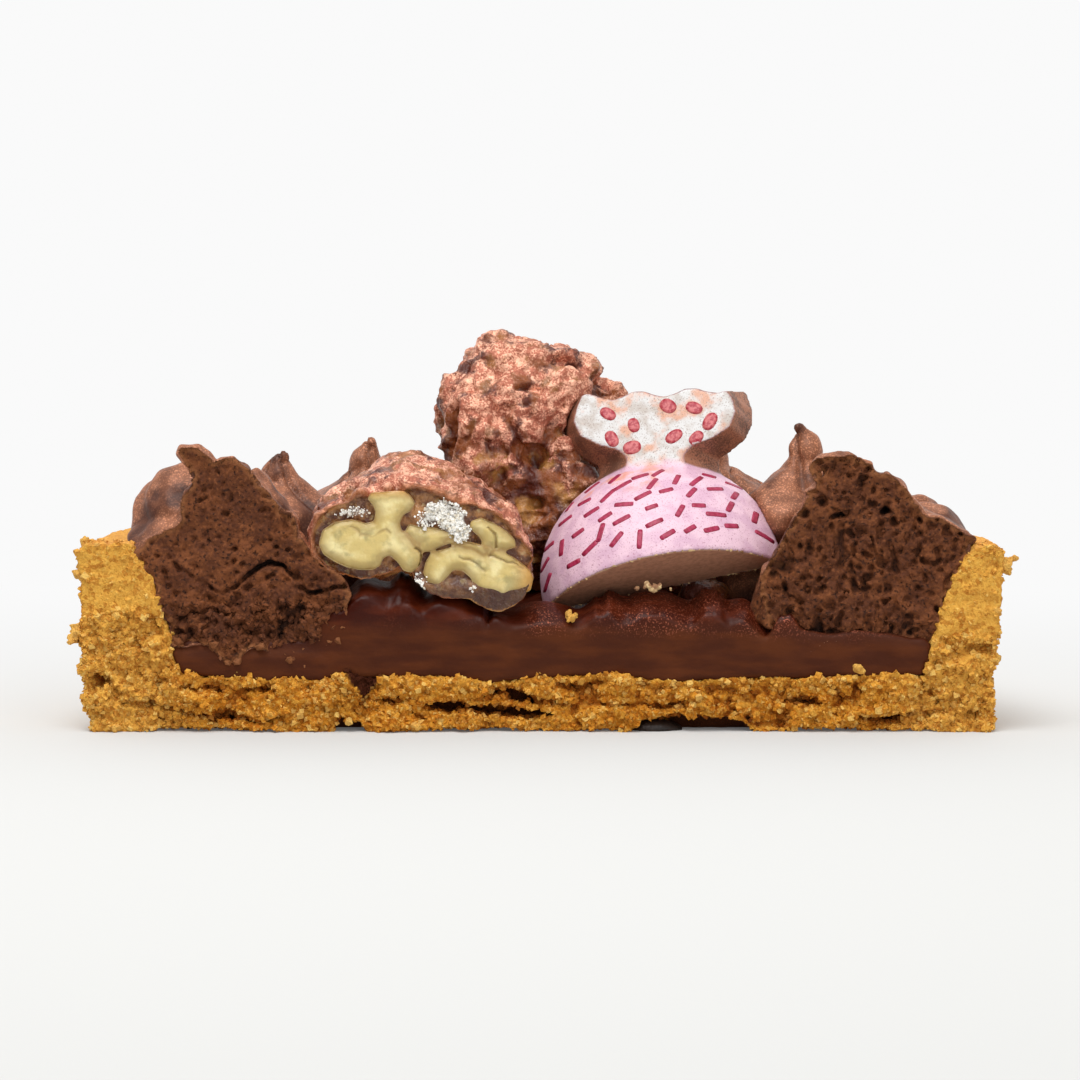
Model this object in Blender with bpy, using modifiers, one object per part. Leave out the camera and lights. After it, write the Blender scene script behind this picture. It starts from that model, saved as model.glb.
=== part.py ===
"""Half of a round praline tart, cut through its middle.

A crumbly shortcrust shell holds a layer of praline ganache. A ring of piped whipped ganache peaks stands
inside the rim. On the ganache lie two candied nuts, one of them cut open, a fragment of a third, and half
of a moulded chocolate made like a wrapped sweet. A dab of dark chocolate sticks under the base.

Everything is modelled round the middle of the whole tart, with the knife's cut on the plane y = 0 and the
kept half at y > 0. An empty then moves it all, so that the origin is the middle of the half's underside.
"""

import math

import bmesh
import bpy
import numpy as np
from mathutils import Matrix, Vector, noise

MM = 0.001

# Driving dimensions of the tart
RIM_RADIUS = 50 * MM
FOOT_RADIUS = 49.0 * MM
SHELL_HEIGHT = 20.3 * MM
FLOOR_THICKNESS = 5.8 * MM
FLOOR_WAVE = 0.9 * MM
CAVITY_SHIFT = 1.3 * MM
CAVITY_RADII = {
    "floor": 40.6 * MM,
    "low": 41.7 * MM,
    "middle": 43.3 * MM,
    "rim": 45.9 * MM,
    "above": 46.5 * MM,
}
CAVITY_HEIGHTS = {"low": 10 * MM, "middle": 16 * MM, "rim": 20 * MM, "above": 21.5 * MM}
GAP = 0.3 * MM
TURN_STEPS = 64

# The ganache, level under the ring and lumpy in the middle
GANACHE_LEVEL = 9.5 * MM
GANACHE_GRID = (36, 17)
LUMP_POWER = 0.6

# The ring of piped peaks
PEAKS_IN_WHOLE_RING = 15
FIRST_PEAK_ANGLE = 6.0
PEAK_AXIS_RADIUS = 34 * MM
PEAK_FOOT = 9.3 * MM

COLOURS = {
    "shortcrust": ((0.62, 0.33, 0.08), 0.85),
    "praline_ganache": ((0.09, 0.028, 0.012), 0.35),
    "whipped_ganache": ((0.13, 0.045, 0.02), 0.6),
    "candy_coat": ((0.33, 0.12, 0.07), 0.4),
    "nut_kernel": ((0.66, 0.50, 0.22), 0.55),
    "printed_chocolate": ((0.78, 0.42, 0.52), 0.35),
    "dark_chocolate": ((0.035, 0.02, 0.014), 0.4),
}


def clear_scene():
    """Remove whatever the scene holds."""
    for obj in list(bpy.data.objects):
        bpy.data.objects.remove(obj)


def collection(name, hidden=False):
    """A new collection in the scene."""
    made = bpy.data.collections.new(name)
    made.hide_render = hidden
    bpy.context.scene.collection.children.link(made)
    return made


def material(name):
    """The Principled material of one foodstuff."""
    found = bpy.data.materials.get(name)
    if found:
        return found
    colour, roughness = COLOURS[name]
    made = bpy.data.materials.new(name)
    made.use_nodes = True
    shader = made.node_tree.nodes["Principled BSDF"]
    shader.inputs["Base Color"].default_value = (*colour, 1)
    shader.inputs["Roughness"].default_value = roughness
    return made


def tool(name, bm):
    """An object that shapes others and is not part of the tart, from a bmesh."""
    mesh = bpy.data.meshes.new(name)
    bm.to_mesh(mesh)
    bm.free()
    obj = bpy.data.objects.new(name, mesh)
    obj.hide_render = True
    obj.display_type = "WIRE"
    TOOLS.objects.link(obj)
    return obj


def finish(obj, name, finish_name):
    """Make a shaped tool into a named part of the tart."""
    TOOLS.objects.unlink(obj)
    TART.objects.link(obj)
    obj.name = obj.data.name = name
    obj.hide_render = False
    obj.display_type = "TEXTURED"
    obj.data.materials.clear()
    obj.data.materials.append(material(finish_name))
    obj.data.shade_smooth()
    obj.data.set_sharp_from_angle(angle=math.radians(40))
    obj.parent = ORIGIN
    return obj


def use_up_modifiers(obj):
    """Give the object its evaluated mesh."""
    graph = bpy.context.evaluated_depsgraph_get()
    mesh = bpy.data.meshes.new_from_object(obj.evaluated_get(graph))
    obj.modifiers.clear()
    obj.data = mesh
    return obj


def is_closed(mesh):
    """Whether a mesh has faces and every edge lies between two of them."""
    bm = bmesh.new()
    bm.from_mesh(mesh)
    closed = len(bm.faces) > 0 and all(edge.is_manifold for edge in bm.edges)
    bm.free()
    return closed


def boolean(obj, other, operation):
    """Apply one Boolean to the object, exact unless that leaves it open or empty."""
    before = obj.data
    for solver in ("EXACT", "MANIFOLD"):
        obj.data = before
        change = obj.modifiers.new(operation.lower(), "BOOLEAN")
        change.operation = operation
        change.solver = solver
        change.object = other
        use_up_modifiers(obj)
        if is_closed(obj.data):
            break
    return obj


def melt(obj, voxel, triangles):
    """Fuse the object's overlapping closed shapes into one skin of about so many triangles."""
    fuse = obj.modifiers.new("fuse", "REMESH")
    fuse.mode = "VOXEL"
    fuse.voxel_size = voxel
    use_up_modifiers(obj)
    soften = obj.modifiers.new("soften", "SMOOTH")
    soften.factor = 0.5
    soften.iterations = 3
    use_up_modifiers(obj)
    reduce_to(obj, triangles)
    return obj


def reduce_to(obj, triangles):
    """Decimate the object to about so many triangles."""
    obj.data.calc_loop_triangles()
    fewer = obj.modifiers.new("fewer", "DECIMATE")
    fewer.ratio = min(1, triangles / len(obj.data.loop_triangles))
    return use_up_modifiers(obj)


def roughen(obj, height, width, seed):
    """Push the surface in and out along its normals by smooth noise."""
    offset = Vector((seed, -seed, 2 * seed))
    moves = [noise.noise(v.co / width + offset) * height * v.normal for v in obj.data.vertices]
    for vertex, move in zip(obj.data.vertices, moves):
        vertex.co += move


def box(name, low, high):
    """A closed box between two corners, as a tool."""
    low, high = Vector(low), Vector(high)
    bm = bmesh.new()
    size = high - low
    place = Matrix.Translation((low + high) / 2) @ Matrix.Diagonal((*size, 1))
    bmesh.ops.create_cube(bm, size=1, matrix=place)
    return tool(name, bm)


def ellipsoids(name, lobes, grow=0.0):
    """Overlapping ellipsoids, each given by its centre and half sizes, as one tool."""
    bm = bmesh.new()
    for centre, radii in lobes:
        grown = [r + grow for r in radii]
        place = Matrix.Translation(centre) @ Matrix.Diagonal((*grown, 1))
        bmesh.ops.create_icosphere(bm, subdivisions=4, radius=1, matrix=place)
    return tool(name, bm)


def in_metres(lobes):
    """Lobes in millimetres as vectors in metres."""
    return [(Vector(centre) * MM, Vector(radii) * MM) for centre, radii in lobes]


def turned(name, profile, centre=(0, 0, 0)):
    """A solid turned about a vertical axis from a profile that runs down its outer side."""
    bm = bmesh.new()
    points = [bm.verts.new((radius, 0, height)) for radius, height in profile]
    for upper, lower in zip(points, points[1:]):
        bm.edges.new((upper, lower))
    obj = tool(name, bm)
    obj.location = centre
    screw = obj.modifiers.new("turn", "SCREW")
    screw.steps = screw.render_steps = TURN_STEPS
    screw.use_merge_vertices = True
    screw.merge_threshold = 0.00001
    use_up_modifiers(obj)
    obj.data.transform(Matrix.Translation(centre))
    obj.location = (0, 0, 0)
    return obj


def drop_scraps(obj):
    """Keep only the object's largest connected body."""
    bm = bmesh.new()
    bm.from_mesh(obj.data)
    waiting = set(bm.verts)
    bodies = []
    while waiting:
        body, edge_of_body = set(), [waiting.pop()]
        while edge_of_body:
            vertex = edge_of_body.pop()
            body.add(vertex)
            fresh = {edge.other_vert(vertex) for edge in vertex.link_edges} & waiting
            waiting -= fresh
            edge_of_body.extend(fresh)
        bodies.append(body)
    largest = max(bodies, key=len)
    bmesh.ops.delete(bm, geom=[vertex for vertex in bm.verts if vertex not in largest], context="VERTS")
    bm.to_mesh(obj.data)
    bm.free()
    return obj


def keep_half(obj):
    """Cut the object on the knife's plane and keep the half behind it."""
    reach = 2 * RIM_RADIUS
    knife = box("knife", (-reach, -reach, -reach), (reach, 0, reach))
    boolean(obj, knife, "DIFFERENCE")
    bpy.data.objects.remove(knife)
    return obj


# ---------------------------------------------------------------- shortcrust shell


def floor_height(x, y):
    """Height of the baked floor's uneven top."""
    return FLOOR_THICKNESS + FLOOR_WAVE * noise.noise(Vector((x, y, 0)) / (11 * MM))


def cavity(name, gap):
    """The space inside the shell and above it, smaller by a gap all round."""
    heights = CAVITY_HEIGHTS
    rings = [heights["above"], heights["rim"], heights["middle"], heights["low"]]
    wall = [(CAVITY_RADII[k] - gap, heights[k]) for k in ("above", "rim", "middle", "low")]
    sky = 60 * MM
    corner = CAVITY_RADII["floor"] - gap
    floor_rings = [corner - step * corner / 6 for step in range(6)]
    floor = [(radius, FLOOR_THICKNESS) for radius in floor_rings] + [(0, FLOOR_THICKNESS)]
    obj = turned(name, [(0, sky), (CAVITY_RADII["above"] - gap, sky), *wall, *floor], (CAVITY_SHIFT, 0, 0))
    for vertex in obj.data.vertices:
        if vertex.co.z < min(rings) - MM:
            vertex.co.z = floor_height(vertex.co.x, vertex.co.y) + gap
    return obj


# Hollows that the knife opened in the base, as lobes: the arch, the notch and the crack between layers
FAULTS = [
    [
        ((16.2, 0, -0.2), (4.0, 3.4, 2.3)),
        ((20.0, 0, -0.3), (3.2, 3.0, 1.5)),
        ((12.4, 0, -0.3), (3.4, 3.0, 1.7)),
    ],
    [((-19.9, 0, -0.2), (1.3, 2.4, 1.5))],
    [
        ((-11.0, 0, 2.7), (4.0, 3.0, 0.7)),
        ((-5.6, 0, 2.3), (4.2, 3.2, 0.75)),
        ((-0.6, 0, 2.0), (4.0, 3.0, 0.65)),
    ],
]


def pastry_shell(pressed_in):
    """The baked shell, which tapers to its foot, with what is pressed into it and the faults at its cut."""
    rim_round = 0.8 * MM
    outside = [
        (0, SHELL_HEIGHT),
        (RIM_RADIUS - 6 * MM, SHELL_HEIGHT),
        (RIM_RADIUS - rim_round, SHELL_HEIGHT),
        (RIM_RADIUS, SHELL_HEIGHT - rim_round),
        (RIM_RADIUS - 0.4 * MM, 9 * MM),
        (FOOT_RADIUS, 0.6 * MM),
        (FOOT_RADIUS - 0.6 * MM, 0),
        (0, 0),
    ]
    shell = turned("shell", outside)
    for vertex in shell.data.vertices:
        if vertex.co.z > SHELL_HEIGHT - 2 * rim_round:
            vertex.co.z += 0.35 * MM * noise.noise(vertex.co / (7 * MM))
    boolean(shell, cavity("cavity", 0), "DIFFERENCE")
    for number, lobes in enumerate(FAULTS):
        fault = melt(ellipsoids("fault", in_metres(lobes)), 0.3 * MM, 260)
        roughen(fault, 0.5 * MM, 2.5 * MM, number)
        boolean(shell, fault, "DIFFERENCE")
    boolean(shell, pressed_in, "DIFFERENCE")
    return keep_half(shell)


# ---------------------------------------------------------------- praline ganache


def ganache_lumps():
    """Lumps of the ganache's top, each (x, y, half width, half depth, height above its level)."""
    front = [
        (-18.7, 4.6, 4.2, 5.4, 5.9),
        (-10.5, 5.2, 4.9, 6.0, 5.1),
        (0.4, 4.8, 6.7, 5.6, 4.0),
        (12.5, 5.2, 6.3, 6.0, 5.3),
        (21.6, 4.8, 4.0, 5.4, 4.5),
    ]
    rows = [(12.5, 5, 0.5), (19.0, 4, 0.0), (25.0, 3, 0.5)]
    behind = []
    for depth, count, shift in rows:
        for place in range(count):
            x = (place - (count - 1) / 2 + (shift - 0.25) * 0.6) * 9.5
            height = 3.9 + 0.8 * noise.noise(Vector((x, depth, 4.0)))
            behind.append((x, depth, 5.8, 5.4, height))
    return [[value * MM for value in lump] for lump in front + behind]


def ganache_top(x, y, lumps):
    """Height of the ganache's surface: the highest lump there, or its level."""
    rise = 0.0
    for lump_x, lump_y, half_width, half_depth, height in lumps:
        inside = 1 - ((x - lump_x) / half_width) ** 2 - ((y - lump_y) / half_depth) ** 2
        if inside > 0:
            rise = max(rise, height * inside**LUMP_POWER)
    return GANACHE_LEVEL + rise


def ganache_body(name, raise_by=0.0, down_to=0.0):
    """The ganache as a closed height field over the kept half, reaching down to a height."""
    lumps = ganache_lumps()
    half_width = RIM_RADIUS
    bm = bmesh.new()
    columns, rows = GANACHE_GRID
    bmesh.ops.create_grid(bm, x_segments=columns, y_segments=rows, size=1)
    for vertex in bm.verts:
        vertex.co.x *= half_width
        vertex.co.y = (vertex.co.y + 1) / 2 * (half_width + MM) - MM
        vertex.co.z = ganache_top(vertex.co.x, max(vertex.co.y, 0), lumps) + raise_by
    bmesh.ops.triangulate(bm, faces=bm.faces, quad_method="FIXED")
    rim = [edge for edge in bm.edges if edge.is_boundary]
    skirt = bmesh.ops.extrude_edge_only(bm, edges=rim)["geom"]
    lowered = [item for item in skirt if isinstance(item, bmesh.types.BMVert)]
    for vertex in lowered:
        vertex.co.z = down_to
    bmesh.ops.holes_fill(bm, edges=[edge for edge in bm.edges if edge.is_boundary], sides=0)
    bmesh.ops.recalc_face_normals(bm, faces=bm.faces)
    return tool(name, bm)


def ganache(inside):
    """The praline ganache, run into the shell."""
    body = ganache_body("ganache")
    boolean(body, inside, "INTERSECT")
    return keep_half(body)


# ---------------------------------------------------------------- piped whipped ganache

# Each station of a piped peak, in millimetres: height above its foot, reach towards the tart's middle,
# reach towards the rim and half width, all from the peak's own axis. Above the body the tip is stretched.
PEAK_STATIONS = [
    (0.0, 11.3, 11.0, 7.8),
    (4.1, 10.9, 11.8, 8.4),
    (7.9, 9.6, 12.5, 8.3),
    (11.0, 7.9, 12.2, 7.7),
    (13.5, 5.9, 9.6, 6.2),
    (15.3, 4.0, 6.0, 4.3),
    (16.9, 2.3, 3.2, 2.6),
    (18.8, 1.3, 1.4, 1.4),
    (20.7, 0.9, 0.8, 0.9),
]
PEAK_BODY_HEIGHT = 13.0
PEAK_SHOULDER_HEIGHT = 9.0
RAMP_HEIGHT = 12.5
RAMP_SPREAD = 3.0

# Of each peak, from the left cut to the right one: tip height, lean along the ring, reach of the tip and
# extra reach of the ramp below it towards the tart's middle, all in millimetres, and twist in degrees
PEAK_TIPS = [
    (29.0, 0.6, 1.5, 0.0, 60),
    (29.4, -0.4, -0.8, 0.0, 130),
    (30.4, -0.7, -0.4, 0.0, 90),
    (29.6, -0.8, 1.2, 1.0, 150),
    (30.4, 0.9, 1.5, 1.2, 70),
    (30.2, -1.2, 1.6, 1.5, 120),
    (32.8, 1.0, 2.2, 4.2, 100),
    (29.0, -0.5, 1.5, 0.0, 80),
]

# Outlines of the two torn cut faces, (x, z) in millimetres, where each peak met the knife
LEFT_TEAR = [
    (-45.2, 19.2), (-42.4, 20.0), (-40.5, 20.9), (-38.6, 23.1), (-37.4, 28.2), (-39.3, 31.0), (-37.0, 31.2),
    (-35.7, 29.7), (-34.6, 29.2), (-32.7, 30.4), (-30.7, 27.6), (-27.2, 23.9), (-25.6, 20.4), (-21.8, 17.1),
    (-20.7, 15.0), (-21.4, 11.6), (-24.0, 8.8), (-45.2, 8.8),
]
RIGHT_TEAR = [
    (48.6, 20.8), (45.3, 21.5), (42.6, 22.0), (41.2, 24.0), (38.3, 27.4), (35.1, 29.4), (33.2, 30.0),
    (31.0, 30.1), (29.5, 29.2), (29.3, 25.2), (27.9, 23.4), (26.9, 20.9), (24.5, 18.7), (24.2, 15.5),
    (25.0, 13.3), (26.9, 8.8), (48.6, 8.8),
]
TEAR_DEPTH = 2.6 * MM
# Behind the tears the skin stayed whole in a round shoulder, below which the left peak broke away; centre
# and half sizes in millimetres
LEFT_SHOULDER = ((-38.4, 7.6, 21.2), (6.7, 5.9, 7.4))
RIGHT_SHOULDER = ((41.8, 8.4, 19.3), (5.2, 5.5, 5.4))
LEFT_BREAK = ((-43.6, -0.5, 25.6), (5.2, 3.6, 5.0))


def peak_surface(along, around, tip_height, lean, reach, ramp, twist):
    """A point of a piped peak, from its share of the height and its angle, on the peak's own axes."""
    heights, inward, outward, half_widths = np.array(PEAK_STATIONS).T
    height = along * heights[-1]
    inner = np.interp(height, heights, inward)
    outer = np.interp(height, heights, outward)
    half_width = np.interp(height, heights, half_widths)
    bend = reach * max(0, (height - PEAK_SHOULDER_HEIGHT) / (heights[-1] - PEAK_SHOULDER_HEIGHT)) ** 1.5
    inner += bend + ramp * math.exp(-(((height - RAMP_HEIGHT) / RAMP_SPREAD) ** 2))
    outer -= bend
    ridge = 1 + 0.06 * math.cos(5 * around + math.radians(twist) * (1 + along))
    wind = 0.9 * (1 - along) * along * 4
    winding = math.radians(540) * along + math.radians(twist)
    radial = (outer - inner) / 2 + (outer + inner) / 2 * math.cos(around) * ridge
    radial += wind * math.cos(winding)
    tangent = half_width * math.sin(around) * ridge + wind * math.sin(winding)
    tangent += lean * along**3
    foot = PEAK_FOOT / MM
    stretch = (tip_height - foot - PEAK_BODY_HEIGHT) / (heights[-1] - PEAK_BODY_HEIGHT)
    if height > PEAK_BODY_HEIGHT:
        height = PEAK_BODY_HEIGHT + (height - PEAK_BODY_HEIGHT) * stretch
    return Vector((radial, tangent, foot + height)) * MM


def piped_peak(number):
    """One peak of the ring as it left the piping bag, standing at its place."""
    angle = math.radians(FIRST_PEAK_ANGLE + number * 360 / PEAKS_IN_WHOLE_RING)
    outward = Vector((-math.cos(angle), math.sin(angle), 0))
    onward = Vector((math.sin(angle), math.cos(angle), 0))
    middle = outward * PEAK_AXIS_RADIUS + Vector((CAVITY_SHIFT, 0, 0))
    bm = bmesh.new()
    bmesh.ops.create_uvsphere(bm, u_segments=26, v_segments=22, radius=1)
    for vertex in bm.verts:
        along = (math.asin(max(-1, min(1, vertex.co.z))) / math.pi) + 0.5
        around = math.atan2(vertex.co.y, vertex.co.x)
        closing = min(1, math.hypot(vertex.co.x, vertex.co.y) * 3)
        point, outer, inner = (peak_surface(along, turn, *PEAK_TIPS[number]) for turn in (around, 0, math.pi))
        centre = (outer + inner) / 2
        point = centre + (point - centre) * closing
        vertex.co = middle + outward * point.x + onward * point.y + Vector((0, 0, point.z))
    bmesh.ops.recalc_face_normals(bm, faces=bm.faces)
    return tool("peak", bm)


def torn_face(outline):
    """The slab of whipped ganache that the knife tore up, from its outline on the cut."""
    curve = bpy.data.curves.new("tear", "CURVE")
    curve.dimensions = "2D"
    curve.fill_mode = "BOTH"
    curve.extrude = TEAR_DEPTH / 2
    spline = curve.splines.new("POLY")
    spline.points.add(len(outline) - 1)
    for point, (x, z) in zip(spline.points, outline):
        point.co = (x * MM, z * MM, 0, 1)
    spline.use_cyclic_u = True
    sheet = bpy.data.objects.new("tear", curve)
    upright = Matrix.Rotation(math.pi / 2, 4, "X")
    sheet.matrix_world = Matrix.Translation((0, TEAR_DEPTH / 2 - MM, 0)) @ upright
    TOOLS.objects.link(sheet)
    bpy.context.view_layer.update()
    graph = bpy.context.evaluated_depsgraph_get()
    bm = bmesh.new()
    bm.from_mesh(bpy.data.meshes.new_from_object(sheet.evaluated_get(graph)))
    bm.transform(sheet.matrix_world)
    bmesh.ops.remove_doubles(bm, verts=bm.verts, dist=0.00001)
    bmesh.ops.recalc_face_normals(bm, faces=bm.faces)
    bpy.data.objects.remove(sheet)
    return tool("tear", bm)


def sector(number):
    """The wedge of the tart that one peak may fill, a gap clear of its neighbours'."""
    pitch = 360 / PEAKS_IN_WHOLE_RING
    middle = FIRST_PEAK_ANGLE + number * pitch
    reach, sky = 70 * MM, 60 * MM
    bm = bmesh.new()
    corners = [Vector((CAVITY_SHIFT, 0, 0))]
    for angle in (middle - pitch / 2, middle + pitch / 2):
        turn = math.radians(angle)
        corners.append(Vector((-math.cos(turn), math.sin(turn), 0)) * reach + corners[0])
    forward = (corners[1] + corners[2] - 2 * corners[0]).normalized()
    shift = forward * GAP / 2 / math.sin(math.radians(pitch / 2))
    base = [bm.verts.new(corner + shift) for corner in corners]
    face = bm.faces.new(base)
    lifted = bmesh.ops.extrude_face_region(bm, geom=[face])["geom"]
    bmesh.ops.translate(bm, verts=[v for v in lifted if isinstance(v, bmesh.types.BMVert)], vec=(0, 0, sky))
    bmesh.ops.recalc_face_normals(bm, faces=bm.faces)
    return tool("sector", bm)


def whipped_peak(number, inside, cutters, triangles):
    """One piped peak, pressed against its neighbours and fitted round what lies on it."""
    peak = piped_peak(number)
    tears = {0: (LEFT_TEAR, LEFT_SHOULDER), len(PEAK_TIPS) - 1: (RIGHT_TEAR, RIGHT_SHOULDER)}
    if number == 0:
        boolean(peak, ellipsoids("break", in_metres([LEFT_BREAK])), "DIFFERENCE")
    if number in tears:
        outline, shoulder = tears[number]
        boolean(peak, ellipsoids("shoulder", in_metres([shoulder])), "UNION")
        boolean(peak, torn_face(outline), "UNION")
    melt(peak, 0.55 * MM, triangles)
    roughen(peak, 0.35 * MM, 4 * MM, number)
    boolean(peak, inside, "INTERSECT")
    boolean(peak, sector(number), "INTERSECT")
    for cutter in cutters:
        boolean(peak, cutter, "DIFFERENCE")
    if number in tears:
        keep_half(peak)
    return drop_scraps(peak)


# ---------------------------------------------------------------- candied nuts

# Lobes as centre and half sizes, in millimetres
FRONT_NUT = [
    ((-18.7, 2.0, 22.0), (6.5, 8.0, 5.5)),
    ((-14.3, 3.0, 23.6), (7.2, 8.6, 6.0)),
    ((-8.8, 3.0, 20.7), (6.9, 8.6, 6.3)),
    ((-4.7, 2.0, 17.7), (4.1, 7.5, 4.9)),
]
BACK_NUT = [
    ((-2.8, 23.2, 32.1), (9.0, 6.9, 9.5)),
    ((-6.6, 22.2, 30.5), (5.0, 6.2, 7.2)),
    ((1.7, 24.0, 35.0), (5.6, 5.8, 6.0)),
    ((5.4, 26.4, 32.0), (5.4, 5.4, 5.0)),
    ((0.0, 22.4, 22.4), (8.2, 6.4, 9.4)),
]
FRAGMENT = [
    ((18.1, 10.9, 13.3), (2.7, 2.6, 1.9)),
    ((19.6, 12.0, 13.0), (1.8, 2.0, 1.5)),
]
# The front nut leans back from the knife: how far for each millimetre of height, and from what height
NUT_LEAN = 0.7
NUT_LEAN_HEIGHT = 20 * MM
# The walnut kernel's folds where the knife went through: x, z, half width, half height
KERNEL_FOLDS = [
    (-21.0, 20.4, 2.9, 2.5),
    (-18.2, 18.8, 2.8, 1.7),
    (-16.0, 24.0, 2.4, 2.0),
    (-16.1, 21.6, 1.4, 2.2),
    (-15.2, 19.4, 3.0, 1.5),
    (-13.2, 18.2, 1.4, 1.6),
    (-11.8, 21.4, 2.4, 1.4),
    (-9.8, 17.7, 2.4, 2.0),
    (-7.6, 18.9, 4.2, 1.5),
    (-4.6, 17.5, 3.7, 2.5),
    (-4.9, 21.0, 2.0, 1.7),
    (-3.2, 15.7, 1.9, 1.4),
]
KERNEL_DEPTH = 6.5


def leaning(obj, slope, height):
    """Shear the object back above a height and forward below it."""
    for vertex in obj.data.vertices:
        vertex.co.y += slope * (vertex.co.z - height)
    return obj


def candied_nut(lobes, triangles, seed):
    """A nut in its bumpy sugar coat, from its overlapping lobes."""
    nut = melt(lobes, 0.5 * MM, 3 * triangles)
    roughen(nut, 1.1 * MM, 3.4 * MM, seed)
    return reduce_to(nut, triangles)


def kernel_body(name, grow, triangles):
    """The folded kernel inside the front nut, from its folds at the cut and run back into the nut."""
    lobes = [((x, 0, z), (rx, KERNEL_DEPTH, rz)) for x, z, rx, rz in KERNEL_FOLDS]
    return melt(ellipsoids(name, in_metres(lobes), grow), 0.3 * MM, triangles)


def swollen(obj, by):
    """A copy of a piece, larger by a gap, that presses its imprint into softer ones."""
    bm = bmesh.new()
    bm.from_mesh(obj.data)
    bm.normal_update()
    moves = [vertex.normal * by for vertex in bm.verts]
    for vertex, move in zip(bm.verts, moves):
        vertex.co += move
    return tool(obj.name + "_imprint", bm)


# ---------------------------------------------------------------- moulded chocolate sweet

SWEET_FOOT = (13.3, 9.0, 16.3)
SWEET_LEAN = 30.0
SWEET_TURN = 8.0
BALL_RADIUS = 13.6
BALL_HEIGHT = 9.5
FAN_THICKNESS = 4.0
CUT_BELOW_BALL = 1.9
CUT_SLOPE = 9.0
# The twisted wrapper end from its neck up: height above the ball's middle, half width of its face and
# half width of its wider back, in millimetres
FAN_STATIONS = [
    (8.0, 4.6, 9.6),
    (10.6, 3.6, 8.0),
    (12.3, 2.9, 6.9),
    (13.5, 3.9, 7.0),
    (14.3, 6.4, 8.2),
    (15.6, 8.4, 9.8),
    (17.4, 9.1, 10.7),
    (19.2, 8.7, 10.8),
]
FAN_TOP = (20.3, 21.3)
SCALLOP_PITCH = 5.85
SCALLOP_START = -1.8
SCALLOP_HEIGHT = 0.5


def fan_outline(level):
    """Closed outline of the fan's face (level 1) or back (level 0), up one side, over the top and down."""
    heights, face, back = np.array(FAN_STATIONS).T
    widths = back + (face - back) * level
    side = list(zip(widths, heights))
    top = FAN_TOP[1] + (FAN_TOP[0] - FAN_TOP[1]) * level
    steps = 14
    crest = []
    for step in range(steps + 1):
        across = 0.93 * widths[-1] * (1 - 2 * step / steps)
        scallop = SCALLOP_HEIGHT * math.cos((across - SCALLOP_START) / SCALLOP_PITCH * 2 * math.pi)
        crest.append((across, top + scallop))
    return side + crest + [(-width, height) for width, height in reversed(side)]


def sweet():
    """Half of a moulded chocolate: a ball and one twisted wrapper end, flat behind, cut across the ball."""
    sphere_radius = (BALL_RADIUS**2 + BALL_HEIGHT**2) / (2 * BALL_HEIGHT)
    bm = bmesh.new()
    place = Matrix.Translation((0, 0, BALL_HEIGHT - sphere_radius))
    bmesh.ops.create_uvsphere(bm, u_segments=40, v_segments=22, radius=sphere_radius, matrix=place)
    ball = tool("ball", bm)
    bm = bmesh.new()
    rings = []
    for level in (0, 1):
        ring = [bm.verts.new((x, y, level * FAN_THICKNESS)) for x, y in fan_outline(level)]
        rings.append(ring)
    bm.faces.new(rings[0])
    bm.faces.new(rings[1])
    count = len(rings[0])
    for place in range(count):
        onward = (place + 1) % count
        bm.faces.new((rings[0][place], rings[0][onward], rings[1][onward], rings[1][place]))
    bmesh.ops.recalc_face_normals(bm, faces=bm.faces)
    boolean(ball, tool("fan", bm), "UNION")
    reach = 40
    boolean(ball, box("behind", (-reach, -reach, -reach), (reach, reach, 0)), "DIFFERENCE")
    knife = box("knife", (-reach, -reach, -reach), (reach, 0, reach))
    slope = Matrix.Rotation(math.radians(CUT_SLOPE), 4, "Z")
    knife.data.transform(Matrix.Translation((0, -CUT_BELOW_BALL, 0)) @ slope)
    boolean(ball, knife, "DIFFERENCE")
    lean = Matrix.Rotation(math.radians(90 - SWEET_LEAN), 4, "X")
    turn = Matrix.Rotation(math.radians(-SWEET_TURN), 4, "Y")
    ball.data.transform(Matrix.Scale(MM, 4) @ Matrix.Translation(SWEET_FOOT) @ lean @ turn)
    return ball


# ---------------------------------------------------------------- dab under the base


def chocolate_dab():
    """A dab of dark chocolate stuck in the arch under the base."""
    centre = Vector((12.3, 1.9, 0.0)) * MM
    dab = ellipsoids("dab", [(centre, Vector((3.3, 1.7, 1.15)) * MM)])
    reduce_to(dab, 260)
    reach = 10 * MM
    boolean(dab, box("ground", (-reach, -reach, -reach), (3 * reach, reach, 0)), "DIFFERENCE")
    return keep_half(dab)


# ---------------------------------------------------------------- the tart


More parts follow.
